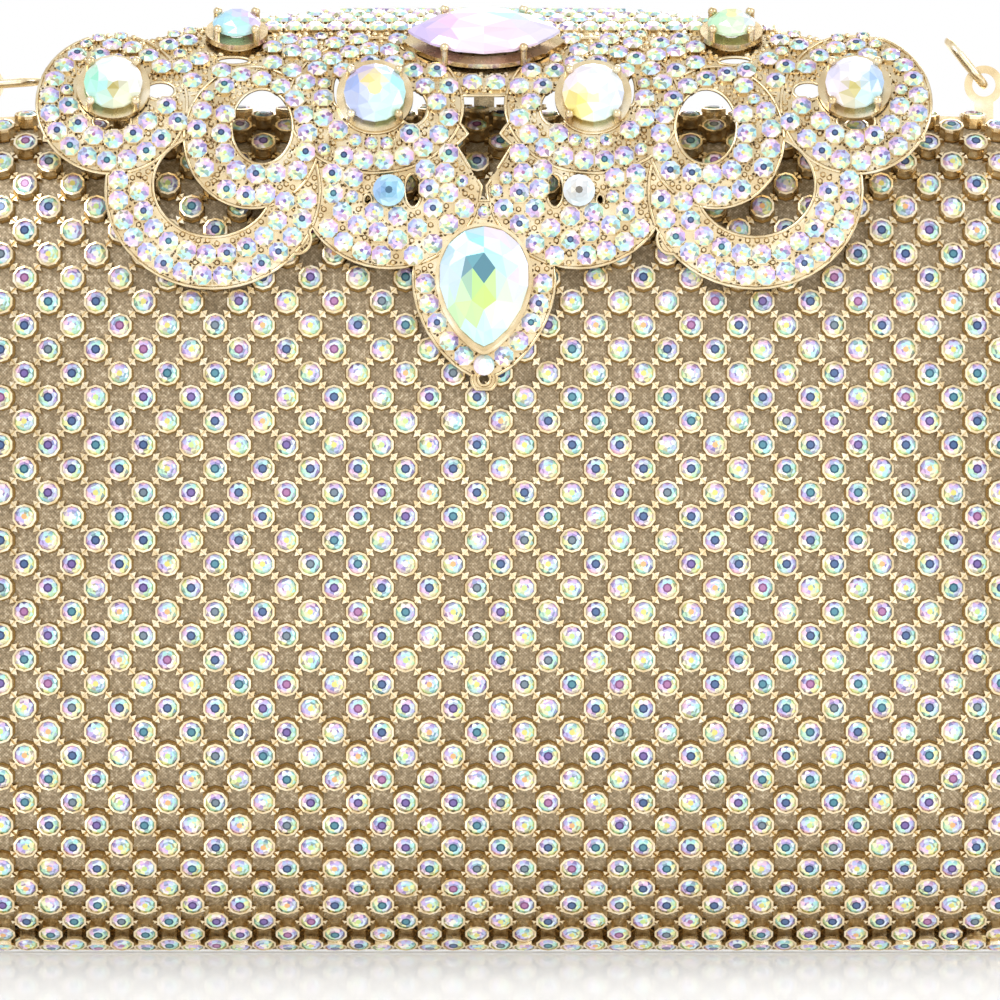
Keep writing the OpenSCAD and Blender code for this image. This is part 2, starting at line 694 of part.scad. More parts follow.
hole_rooms = [for (s = concat(eye_hole_shares, [diamond_room_shares])) let (z = pattern_z(s[1]))
    room(s, 0, half_clasp * s[2] - pave_overhang,
        clasp_h * s[3] / cos(normal_angle(z, arch_outer_r)) - pave_overhang)];

function clears(p, rooms) = let (r = pave_d / 2)
    len([for (m = rooms) if (norm([(p.x - m[0]) / (m[2] + r), (p.y - m[1]) / (m[3] + r)]) < 1)
        1]) == 0;
function stands_clear(p, kept) = let (far = pave_d + pave_gap)
    (p.x == 0 || 2 * p.x > far) && len([for (k = kept) if (norm(p - k) < far) 1]) == 0;
// Takes the places one by one, and keeps those that stand clear of all kept before
function keep_clear(places, i = 0, kept = []) = i == len(places) ? kept
    : keep_clear(places, i + 1, stands_clear(places[i], kept) ? concat(kept, [places[i]]) : kept);
// Whether a place in the pattern lies inside an outline by a margin
function within(x, z, shares, margin, power = 2) =
    pow(abs(x - half_clasp * shares[0]) / (half_clasp * shares[2] - margin), power)
    + pow(abs(z - pattern_z(shares[1])) / (clasp_h * shares[3] - margin), power) < 1;
function on_motif(x, z) = let (m = search_margin)
    within(x, z, ear_shares, m) || within(x, z, crescent_shares, m)
    || within(x, z, loop_shares, m) || within(x, z, apron_shares, m)
    || within(x, z, swag_shares, m) && !within(x, z, swag_hole_shares, -m)
    || within(x, z, ridge_shares, m, ridge_power) && z > pattern_z(ridge_shares[1])
        && !within(x, z, ridge_inner_shares, -m, ridge_power);
// The metal left between the rows is filled wherever a stone fits
search_places = [for (z = [clasp_low_z:search_step:arch_z + arch_outer_r],
    x = [search_step:search_step:half_clasp]) if (on_motif(x, z)) [x, along(z, arch_outer_r)]];
pave_places = keep_clear([for (p = concat(teardrop_places, row_places, ridge_places,
    crest_places, search_places))
    if (clears(p, stone_rooms) && clears(p, hole_rooms) && clears_bezel(p)) p]);

module pave_stones() {
    r = pave_d / 2;
    color(crystal) for (p = pave_places, side = p.x == 0 ? [1] : [-1, 1])
        translate(face_place(side * p.x, p.y)) rotate([90 - face_angle(p.y), 0, 0])
        translate([0, 0, pave_seat]) cylinder(h = pave_h, r1 = r, r2 = r * table_share);
}

// Castings and stones, in place

module filigree() {
    color(gold) difference() {
        intersection() {
            along_x(clasp_w + 2 * cut) arch_profile();
            along_y(-case_d, case_d) pattern();
        }
        pair(inner_stone_shares, inner_tilt, large_lift) round_seat(inner_stone_d);
        pair(outer_stone_shares, outer_tilt, large_lift) round_seat(outer_stone_d);
        pair(top_stone_shares, top_tilt, large_lift) round_seat(top_stone_d);
        pair(small_stone_shares, small_tilt, small_lift) small_seat();
        on_casting(marquise_shares, marquise_tilt, large_lift)
            marquise_seat_form(seat_clearance);
    }
}
// The small round stones sit straight in the casting
module small_seat() {
    translate([0, 0, -pavilion_share * small_stone_d - seat_clearance])
        cylinder(h = basket_depth, r = small_stone_d / 2 + seat_clearance);
}
module marquise_stone() {
    color(crystal) on_casting(marquise_shares, marquise_tilt, large_lift) marquise_stone_form();
}
module marquise_basket() {
    color(gold) on_casting(marquise_shares, marquise_tilt, large_lift) marquise_basket_form();
}
module teardrop_stone() {
    color(crystal) on_casting(teardrop_shares, clasp_lean, teardrop_lift) teardrop_stone_form();
}
module teardrop_bezel() {
    color(gold) on_casting(teardrop_shares, clasp_lean, teardrop_lift) teardrop_bezel_form();
}
module inner_stones() {
    color(crystal) pair(inner_stone_shares, inner_tilt, large_lift) round_stone(inner_stone_d);
}
module inner_baskets() {
    color(gold) pair(inner_stone_shares, inner_tilt, large_lift) round_basket(inner_stone_d, 45);
}
module outer_stones() {
    color(crystal) pair(outer_stone_shares, outer_tilt, large_lift) round_stone(outer_stone_d);
}
module outer_baskets() {
    color(gold) pair(outer_stone_shares, outer_tilt, large_lift) round_basket(outer_stone_d, 45);
}
module top_stones() {
    color(crystal) pair(top_stone_shares, top_tilt, large_lift) round_stone(top_stone_d);
}
module top_baskets() {
    color(gold) pair(top_stone_shares, top_tilt, large_lift) round_basket(top_stone_d, 45);
}
module small_stones() {
    color(crystal) pair(small_stone_shares, small_tilt, small_lift) round_stone(small_stone_d);
}
module drop_stone() {
    r = drop_stone_d / 2;
    color(crystal) on_casting(drop_stone_shares, clasp_lean, pave_seat)
        cylinder(h = pave_h, r1 = r, r2 = r * table_share);
}

// Hinge and catch of the clasp

pin_y = clasp_pin_back;
pin_z = case_h + clasp_pin_rise;
plate_t = 0.8;
ear_gap = 0.15;
ear_x = lever_w / 2 + ear_gap;
bracket_flange = 2.5;
bracket_w = 2 * (ear_x + ear_t + bracket_flange);
ear_lean = 50;
rivet_r = 0.7;
rivet_h = 0.4;
rim_margin = 0.1;
plate_front_y = -rim_d + rim_margin;
plate_back_y = -seam_gap / 2 - rim_margin;
plate_top_z = rim_top_z + plate_t;

// The keeper: a tongue from the back rim that reaches forward over the seam, with a lip
tongue_t = 0.7;
tongue_gap = 0.3;
tongue_top_z = pin_z - lever_r - tongue_gap;
lip_h = 1;
lip_t = 0.8;
lip_y = -3.9;
nose_gap = 0.5;
nose_t = 1;
nose_lift = 0.2;
keeper_plate_w = 6.4;
riser_y = 1.2;

module keeper_tongue() {
    color(gold) {
        translate([-keeper_plate_w / 2, -plate_back_y, rim_top_z])
            cube([keeper_plate_w, plate_back_y - plate_front_y, plate_t]);
        along_x(keeper_w) polygon([[riser_y, rim_top_z + plate_t / 2],
            [riser_y + plate_t, rim_top_z + plate_t / 2], [riser_y + plate_t, tongue_top_z],
            [lip_y, tongue_top_z], [lip_y, tongue_top_z + lip_h],
            [lip_y - lip_t, tongue_top_z + lip_h], [lip_y - lip_t, tongue_top_z - tongue_t],
            [riser_y, tongue_top_z - tongue_t]]);
    }
}
module keeper_rivets() {
    x = (keeper_plate_w + keeper_w) / 4;
    y = -(plate_front_y + plate_back_y) / 2;
    color(gold) both_sides(x) translate([0, y, plate_top_z])
        cylinder(h = rivet_h, r = rivet_r, $fn = 24);
}
module clasp_bracket() {
    under_y = plate_back_y;
    color(gold) {
        translate([-bracket_w / 2, plate_front_y, rim_top_z])
            cube([bracket_w, plate_back_y - plate_front_y, plate_t]);
        both_sides(ear_x + ear_t / 2) difference() {
            along_x(ear_t) {
                polygon([[plate_front_y, rim_top_z + plate_t / 2],
                    [under_y, rim_top_z + plate_t / 2], [under_y, plate_top_z + tongue_gap],
                    [pin_y + lever_r * cos(ear_lean), pin_z - lever_r * sin(ear_lean)],
                    [pin_y - lever_r * cos(ear_lean), pin_z + lever_r * sin(ear_lean)],
                    [plate_front_y, pin_z - lever_r - tongue_gap]]);
                translate([pin_y, pin_z]) circle(r = lever_r);
            }
            pin_hole();
        }
    }
}
module bracket_screws() {
    x = bracket_w / 2 - rivet_r - rim_margin;
    y = (plate_front_y + plate_back_y) / 2;
    color(gold) both_sides(x) translate([0, y, plate_top_z])
        cylinder(h = rivet_h, r = rivet_r, $fn = 24);
}
module pin_hole() {
    translate([0, pin_y, pin_z]) rotate([0, 90, 0])
        cylinder(h = clasp_w, r = clasp_pin_r + pin_clearance, center = true);
}
module clasp_pin() {
    color(steel) translate([0, pin_y, pin_z]) rotate([0, 90, 0])
        cylinder(h = 2 * (ear_x + ear_t), r = clasp_pin_r, center = true);
}

// The lever under the casting: a pad against the arch, a web, a knuckle and a nose
pad_t = 1;
pad_w = 12;
pad_gap = 0.03;
pad_back_angle = 78;
pad_front_angle = 110;
web_back = 1.6;
web_drop = 0.3;
spring_room_w = 2.9;
spring_room_r = 2.3;
module clasp_lever() {
    nose_y = lip_y + nose_gap;
    nose_z = tongue_top_z + nose_lift;
    web_top_z = arch_z + arch_r - pad_t;
    reach = 2 * arch_r;
    color(gold) difference() {
        union() {
            along_x(pad_w) translate([arch_y, arch_z]) intersection() {
                difference() {
                    circle(r = arch_r - pad_gap, $fn = 96);
                    circle(r = arch_r - pad_t, $fn = 96);
                }
                polygon([[0, 0], reach * [cos(pad_back_angle), sin(pad_back_angle)],
                    reach * [cos(pad_front_angle), sin(pad_front_angle)]]);
            }
            along_x(lever_w) {
                polygon([[nose_y, nose_z], [nose_y + nose_t, nose_z],
                    [nose_y + nose_t, pin_z + pad_t / 2], [pin_y - lever_r, pin_z],
                    [pin_y + lever_r, pin_z], [pin_y + web_back, web_top_z - web_drop],
                    [nose_y, web_top_z]]);
                translate([pin_y, pin_z]) circle(r = lever_r);
            }
        }
        pin_hole();
        translate([0, pin_y, pin_z]) rotate([0, 90, 0])
            cylinder(h = spring_room_w, r = spring_room_r, center = true);
        // The nose is as narrow as the keeper
        both_sides((lever_w + keeper_w) / 4 + nose_lift)
            translate([-(lever_w - keeper_w) / 4, nose_y - cut, nose_z - cut])
            cube([(lever_w - keeper_w) / 2, cut + nose_t + cut, cut + lip_h + nose_lift]);
    }
}
module lever_rivets() {
    color(gold) both_sides((pad_w + lever_w) / 4)
        translate([0, arch_y, arch_z + arch_r - pad_t - pad_gap - rivet_h])
        cylinder(h = rivet_h, r = rivet_r, $fn = 24);
}

// Torsion spring round the clasp's pin
spring_wire_d = 0.4;
spring_r = 1.35;
spring_pitch = 0.85;
spring_turns = 2.5;
spring_steps = 12;
spring_sides = 6;
module clasp_spring() {
    n = spring_sides;
    last = spring_turns * spring_steps;
    points = [for (k = [0:last], j = [0:n - 1]) let (t = k * 360 / spring_steps,
        f = j * 360 / n, r = spring_r + spring_wire_d / 2 * cos(f))
        [spring_pitch * (k / spring_steps - spring_turns / 2) + spring_wire_d / 2 * sin(f),
            pin_y + r * cos(t), pin_z + r * sin(t)]];
    low = [for (j = [1:n - 2]) [0, j, j + 1]];
    high = [for (j = [1:n - 2]) [last * n, last * n + j + 1, last * n + j]];
    tube = [for (k = [0:last - 1]) each band_faces(k * n, (k + 1) * n, n)];
    color(steel) polyhedron(points, turned(concat(low, high, tube)));
}

// Strap eyes and rings

eye_rise = 2.2;
eye_z = case_h + eye_rise;
eye_y = (seam_gap / 2 + rim_d) / 2;
eye_post_w = 2.4;
module strap_eye(side) {
    color(gold) difference() {
        translate([side * eye_x, eye_y, eye_z]) {
            rotate([90, 0, 0]) cylinder(h = eye_t, r = eye_r, center = true);
            translate([-eye_post_w / 2, -eye_t / 2, -2 * eye_r])
                cube([eye_post_w, eye_t, eye_r + (eye_r - eye_hole_r) / 2]);
        }
        translate([side * eye_x, eye_y, eye_z]) rotate([90, 0, 0])
            cylinder(h = eye_t + 2 * cut, r = eye_hole_r, center = true);
        along_y(-cut, rim_d + cut) polygon(outline(rim_step, rim_bottom_step));
    }
}
// An oval ring in the x-y plane, whose left end passes through the origin
module ring_form() {
    r = (ring_w - ring_wire_d) / 2;
    straight = ring_l - ring_w;
    translate([r, 0, 0]) {
        rotate([0, 0, 90]) rotate_extrude(angle = 180)
            translate([r, 0]) circle(d = ring_wire_d, $fn = 24);
        translate([straight, 0, 0]) rotate([0, 0, -90]) rotate_extrude(angle = 180)
            translate([r, 0]) circle(d = ring_wire_d, $fn = 24);
        for (y = [-r, r]) translate([0, y, 0]) rotate([0, 90, 0])
            cylinder(h = straight, d = ring_wire_d, $fn = 24);
    }
}
module strap_ring(side, lean) {
    color(gold) translate([side * eye_x, eye_y, eye_z])
        rotate([0, side < 0 ? lean - 90 : -90 - lean, 0]) ring_form();
}

// Moves the seam so that the middle of the whole depth lies at y = 0
clasp_front_y = -surface_y(pattern_z(teardrop_shares[1]), arch_outer_r + teardrop_lift)
    + teardrop_crown * cos(clasp_lean) + teardrop_h * table_share / 2 * sin(clasp_lean);
seam_y = (clasp_front_y - half_d) / 2;
module placed() {
    translate([0, seam_y, 0]) children();
}

placed() shell(false);  // back_shell
placed() rim(false);  // back_rim
placed() cloth_skin(false);  // back_fabric
placed() mesh_skin(false);  // back_mesh
placed() base_mesh(false);  // back_base_mesh
placed() lining(false);  // back_lining
placed() slip_pocket();
placed() hinge_leaves(false);  // back_hinge_leaves
placed() hinge_pins();
placed() keeper_tongue();
placed() keeper_rivets();
placed() strap_eye(-1);  // strap_eye_left
placed() strap_eye(1);  // strap_eye_right
placed() shell(true);  // front_shell
placed() rim(true);  // front_rim
placed() cloth_skin(true);  // front_fabric
placed() mesh_skin(true);  // front_mesh
placed() base_mesh(true);  // front_base_mesh
placed() lining(true);  // front_lining
placed() hinge_leaves(true);  // front_hinge_leaves
placed() clasp_bracket();
placed() bracket_screws();
placed() clasp_pin();
placed() clasp_spring();
placed() filigree();
placed() clasp_lever();
placed() lever_rivets();
placed() pave_stones();
placed() marquise_stone();
placed() marquise_basket();
placed() teardrop_stone();
placed() teardrop_bezel();
placed() inner_stones();
placed() inner_baskets();
placed() outer_stones();
placed() outer_baskets();
placed() top_stones();
placed() top_baskets();
placed() small_stones();
placed() drop_stone();
placed() strap_ring(-1, ring_lean_left);  // strap_ring_left
placed() strap_ring(1, ring_lean_right);  // strap_ring_right
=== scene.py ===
# %% [markdown]
# # A rhinestone clutch
# The bag is a hard case in two halves. Each half is skinned in rhinestone mesh, which is a net of
# small metal cups, each with a cut stone, laid over a metallic cloth. A cast clasp set with
# crystals arches over the top. The CAD frame holds every piece that moves or fits, so it is
# loaded first and never changed, and the looks are built around it.

# %% Load the frame
import json
import math
import random

import bmesh
import bpy
import numpy as np
from mathutils import Matrix, Vector
from mathutils.bvhtree import BVHTree


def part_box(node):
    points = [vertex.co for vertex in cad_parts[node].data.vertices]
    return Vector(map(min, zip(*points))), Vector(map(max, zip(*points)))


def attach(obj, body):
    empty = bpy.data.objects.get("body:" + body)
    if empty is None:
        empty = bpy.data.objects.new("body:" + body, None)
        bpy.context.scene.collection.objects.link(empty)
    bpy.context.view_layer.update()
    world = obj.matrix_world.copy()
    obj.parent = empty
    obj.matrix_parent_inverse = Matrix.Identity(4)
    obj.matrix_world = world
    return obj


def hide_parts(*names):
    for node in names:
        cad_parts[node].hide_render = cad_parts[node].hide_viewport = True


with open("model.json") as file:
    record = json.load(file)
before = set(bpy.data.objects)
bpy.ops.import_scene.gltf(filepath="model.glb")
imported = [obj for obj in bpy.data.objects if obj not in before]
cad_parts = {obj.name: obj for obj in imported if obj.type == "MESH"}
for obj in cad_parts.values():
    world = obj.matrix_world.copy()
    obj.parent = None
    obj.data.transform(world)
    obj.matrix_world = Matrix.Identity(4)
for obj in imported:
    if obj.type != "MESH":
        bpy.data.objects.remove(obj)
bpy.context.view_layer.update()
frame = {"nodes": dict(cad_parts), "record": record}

MM = 0.001

# %% [markdown]
# ## Sizes taken from the frame
# The seam between the halves is the plane through the case's hinge, and the box of the mesh's CAD
# skin gives the case's length, height and depth. Reading them from the frame means that nothing
# has to be fitted later. Everything is worked out in millimetres, and scaled to metres when a
# mesh is made.

# %% Sizes of the case
hinge = next(j for j in frame["record"]["behaviour"]["joints"] if j["name"] == "case_hinge")
seam_y = hinge["pos_m"][1] / MM
case_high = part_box("back_mesh")[1] / MM
half_w = case_high.x
case_h = case_high.z
half_d = case_high.y - seam_y
belly_h = 50
edge_y = 3.2
FRONT, BACK = -1, 1
HALVES = {FRONT: "front", BACK: "back"}
print("half length, height, half depth:", half_w, case_h, half_d)

# %% [markdown]
# ## Helpers
# Colours are written as sRGB hex values, the way a colour picker gives them, and one function
# turns them to the linear values that the renderer works in. One more function adds a node of any
# kind, with its settings, its values and its links, so that a material reads as a short list.

# %% Colour, node and mesh helpers
def linear(hex_colour):
    parts = [int(hex_colour[i:i + 2], 16) / 255 for i in (1, 3, 5)]
    return tuple(v / 12.92 if v <= 0.04045 else ((v + 0.055) / 1.055) ** 2.4 for v in parts) + (1,)


def add(tree, kind, inputs=None, stops=None, **settings):
    """Adds a node. An input is a value, a hex colour or the socket that feeds it."""
    node = tree.nodes.new(kind)
    for name, value in settings.items():
        setattr(node, name, value)
    for key, value in (inputs or {}).items():
        if isinstance(value, bpy.types.NodeSocket):
            tree.links.new(value, node.inputs[key])
        else:
            is_hex = isinstance(value, str) and value.startswith("#")
            node.inputs[key].default_value = linear(value) if is_hex else value
    if stops:
        elements = node.color_ramp.elements
        while len(elements) < len(stops):
            elements.new(1)
        for element, (place, colour) in zip(elements, stops):
            element.position = place
            element.color = linear(colour)
    return node


def new_material(name, **values):
    """A material, its tree and its shader, with the shader's own sockets set."""
    material = bpy.data.materials.new(name)
    material.use_nodes = True
    shader = material.node_tree.nodes["Principled BSDF"]
    for key, value in values.items():
        is_hex = isinstance(value, str)
        shader.inputs[key.replace("_", " ")].default_value = linear(value) if is_hex else value
    return material, material.node_tree, shader


def new_object(name, points, faces, material=None, edges=(), smooth=False):
    """An object at the origin, from points in millimetres."""
    mesh = bpy.data.meshes.new(name)
    mesh.from_pydata([tuple(p) for p in np.asarray(points) * MM], list(edges), list(faces))
    mesh.update()
    if smooth:
        mesh.shade_smooth()
    made = bpy.data.objects.new(name, mesh)
    bpy.context.collection.objects.link(made)
    if material:
        mesh.materials.append(material)
    return made


def dressed(piece, body, slot, *nodes):
    """Rides a finished piece on its body and hides the nodes that it stands for. The slot is not
    used.
    """
    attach(piece, body)
    if nodes:
        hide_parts(*nodes)
    print(piece.name, len(piece.data.polygons), "faces on", body)
    return piece


# %% [markdown]
# ## Camera, floor and light
# The photograph looks straight at the front from the height of the bag's middle, and a pixel at
# the front is 0.1274 mm. The bag's foot lies further back than its belly but isn't drawn smaller,
# so the view is flat, and a very long lens at 4 m gives the same. The studio is white: the world
# lights the bag evenly and soft boxes shape it. The table is acrylic, lit from inside, which
# mirrors the bag faintly and fills the shadows under it. The camera is shown less of that glow
# than the bag gets, so the white doesn't clip.

# %% Camera
pixel = 0.1274
middle_px = 484
base_px = 955
frame_px = 1000
distance = 4000
front_y = seam_y - half_d
camera_data = bpy.data.cameras.new("camera")
camera = bpy.data.objects.new("camera", camera_data)
bpy.context.collection.objects.link(camera)
camera_data.sensor_width = 36
camera_data.lens = camera_data.sensor_width * distance / (pixel * frame_px)
camera_data.clip_start = 0.01
camera.location = Vector(((frame_px / 2 - middle_px) * pixel, front_y - distance,
    (base_px - frame_px / 2) * pixel)) * MM
camera.rotation_euler = (math.radians(90), 0, 0)
bpy.context.scene.camera = camera
bpy.context.scene.view_settings.view_transform = "Standard"


# %% World and lamps
def white_studio():
    world = bpy.data.worlds.new("white studio")
    world.use_nodes = True
    tree = world.node_tree
    tree.nodes.clear()
    path = add(tree, "ShaderNodeLightPath")
    way = add(tree, "ShaderNodeTexCoord").outputs["Generated"]
    up = add(tree, "ShaderNodeSeparateXYZ", {0: way})
    low_level, high_level, seen_level = 0.66, 0.72, 1.0
    level = add(tree, "ShaderNodeMapRange", {"Value": up.outputs["Z"], "From Min": -0.4,
        "From Max": 0.9, "To Min": low_level, "To Max": high_level})
    lit = add(tree, "ShaderNodeBackground", {"Color": "#ffffff", "Strength": level.outputs[0]})
    seen = add(tree, "ShaderNodeBackground", {"Color": "#ffffff", "Strength": seen_level})
    direct = add(tree, "ShaderNodeMath", {0: path.outputs["Is Camera Ray"],
        1: path.outputs["Is Transmission Ray"]}, operation="MAXIMUM")
    direct = add(tree, "ShaderNodeMath", {0: direct.outputs[0],
        1: path.outputs["Is Glossy Ray"]}, operation="MAXIMUM")
    mixed = add(tree, "ShaderNodeMixShader", {0: direct.outputs[0], 1: lit.outputs[0],
        2: seen.outputs[0]})
    add(tree, "ShaderNodeOutputWorld", {"Surface": mixed.outputs[0]})
    bpy.context.scene.world = world


def soft_box(name, place, size, power):
    lamp = bpy.data.lights.new(name, "AREA")
    lamp.size = size
    lamp.energy = power
    made = bpy.data.objects.new(name, lamp)
    made.location = place
    aim = Vector((0, 0, case_h / 2 * MM)) - Vector(place)
    made.rotation_euler = aim.to_track_quat("-Z", "Y").to_euler()
    bpy.context.collection.objects.link(made)


white_studio()
soft_box("key box", (-0.5, -0.8, 0.8), 0.5, 4.6)
soft_box("low box", (0.1, -1.1, 0.15), 0.5, 0.5)
soft_box("fill box", (0.8, -0.5, 0.5), 0.6, 3)
soft_box("back box", (0.2, 0.8, 0.7), 0.6, 4)


# %% Floor
def studio_floor():
    material, tree, shader = new_material("white acrylic floor", Base_Color="#cfcfce",
        Roughness=0.6)
    path = add(tree, "ShaderNodeLightPath")
    glow, seen_glow, mirror_share = 0.7, 0.16, 0.2
    level = add(tree, "ShaderNodeMath", {0: path.outputs["Is Camera Ray"], 1: seen_glow - glow,
        2: glow}, operation="MULTIPLY_ADD")
    lift = add(tree, "ShaderNodeEmission", {"Color": "#ffffff", "Strength": level.outputs[0]})
    mirror = add(tree, "ShaderNodeBsdfGlossy", {"Color": "#ffffff", "Roughness": 0.03})
    flat = add(tree, "ShaderNodeAddShader", {0: shader.outputs[0], 1: lift.outputs[0]})
    mixed = add(tree, "ShaderNodeMixShader", {0: mirror_share, 1: flat.outputs[0],
        2: mirror.outputs[0]})
    tree.links.new(mixed.outputs[0], tree.nodes["Material Output"].inputs["Surface"])
    far = 3000
    floor = new_object("studio_floor", [(-far, -far, 0), (far, -far, 0), (far, far, 0),
        (-far, far, 0)], [(0, 1, 2, 3)], material)


studio_floor()

# %% [markdown]
# ## Metals
# The castings are a zinc alloy, polished and plated with pale gold, which shows a soft orange
# peel, and small pits where the setter's drill went in between the stones; the bump presses the
# pits in and their dark is painted shade. The cups of the mesh are stamped brass sheet, plated the
# same colour but brighter. Faces that carry the attribute "painted_shade" are darker: painted shade
# at the foot of each cup and on the low bar of each link. A metal keeps the default IOR, because
# its reflection takes its colour from the base colour.


# %% Plated zinc casting
def plated_casting(name, pit_step, pit_size):
    material, tree, shader = new_material(name, Metallic=1.0, Roughness=0.24)
    place = add(tree, "ShaderNodeTexCoord").outputs["Object"]
    peel = add(tree, "ShaderNodeTexNoise", {"Vector": place, "Scale": 1 / (0.9 * MM),
        "Detail": 3.0})
    tone = add(tree, "ShaderNodeTexNoise", {"Vector": place, "Scale": 1 / (4 * MM), "Detail": 2.0})
    gold = add(tree, "ShaderNodeValToRGB", {0: tone.outputs[0]}, stops=[(0.3, "#c6ae84"),
        (0.55, "#ddcba6"), (0.75, "#f2e8d0")])
    # Painted shade: the pits are mixed towards a dark brown, as the shade inside drilled holes, and
    # the bump presses them in
    pits = add(tree, "ShaderNodeTexVoronoi", {"Vector": place, "Scale": 1 / (pit_step * MM)})
    deep = add(tree, "ShaderNodeMapRange", {"Value": pits.outputs["Distance"],
        "From Min": pit_size, "From Max": pit_size * 1.6, "To Min": 1.0, "To Max": 0.0})
    gold_with_painted_pit_shade = add(tree, "ShaderNodeMix", {"Factor": deep.outputs[0], 6: gold.outputs[0],
        7: "#57422a"}, data_type="RGBA")
    rough = add(tree, "ShaderNodeMapRange", {"Value": peel.outputs[0], "To Min": 0.16,
        "To Max": 0.36})
    height = add(tree, "ShaderNodeMath", {0: peel.outputs[0], 1: deep.outputs[0]},
        operation="SUBTRACT")
    bump = add(tree, "ShaderNodeBump", {"Height": height.outputs[0], "Strength": 0.35,
        "Distance": 0.06 * MM})
    tree.links.new(gold_with_painted_pit_shade.outputs[2], shader.inputs["Base Color"])
    tree.links.new(rough.outputs[0], shader.inputs["Roughness"])
    tree.links.new(bump.outputs[0], shader.inputs["Normal"])
    return material


pave_casting = plated_casting("zinc casting, drilled and gold plated", 0.7, 0.2)
plain_casting = plated_casting("zinc casting, polished and gold plated", 3.0, 0.02)


# %% Stamped brass and spring steel
def stamped_brass(name, low, middle, high):
    material, tree, shader = new_material(name, Metallic=1.0, Roughness=0.2)
    place = add(tree, "ShaderNodeTexCoord").outputs["Object"]
    tone = add(tree, "ShaderNodeTexNoise", {"Vector": place, "Scale": 1 / (1.6 * MM),
        "Detail": 2.0})
    gold = add(tree, "ShaderNodeValToRGB", {0: tone.outputs[0]}, stops=[(0.3, low),
        (0.5, middle), (0.72, high)])
    rough = add(tree, "ShaderNodeMapRange", {"Value": tone.outputs[0], "To Min": 0.14,
        "To Max": 0.34})
    # Painted shade: faces marked painted_shade are mixed towards a dark brown
    painted_shade = add(tree, "ShaderNodeAttribute", attribute_name="painted_shade")
    whole = add(tree, "ShaderNodeMix", {"Factor": painted_shade.outputs["Fac"], 6: gold.outputs[0],
        7: "#7d6238"}, data_type="RGBA")
    tree.links.new(whole.outputs[2], shader.inputs["Base Color"])
    tree.links.new(rough.outputs[0], shader.inputs["Roughness"])
    return material


def drawn_steel():
    material, tree, shader = new_material("drawn spring steel", Metallic=1.0, Roughness=0.3)
    place = add(tree, "ShaderNodeTexCoord").outputs["Object"]
    grain = add(tree, "ShaderNodeTexNoise", {"Vector": place, "Scale": 1 / (0.3 * MM)})
    tone = add(tree, "ShaderNodeValToRGB", {0: grain.outputs[0]}, stops=[(0.35, "#8d8e92"),
        (0.65, "#b4b5b8")])
    tree.links.new(tone.outputs[0], shader.inputs["Base Color"])
    return material


brass = stamped_brass("stamped brass, gold plated", "#d6be93", "#ecdab6", "#f8eed6")
steel = drawn_steel()

# %% [markdown]
# ## Crystal
# The stones are lead glass with a foil behind and an aurora borealis coating in front, which
# splits white light into pastel bands. Their facets are real faces. Each face carries where it
# lies round the stone, which zone it is in and a number of its own, and each stone carries a
# random vector, so one material can give a facet its pastel and a painted glint that makes it
# lighter or darker, and paint on the stone's table its dark reflection of the room. Lead glass has
# an IOR near 1.6, and the foil is a share of metal.


# %% Small coated crystals
HEART, IRIS, TABLE, CROWN = 0, 1, 2, 3


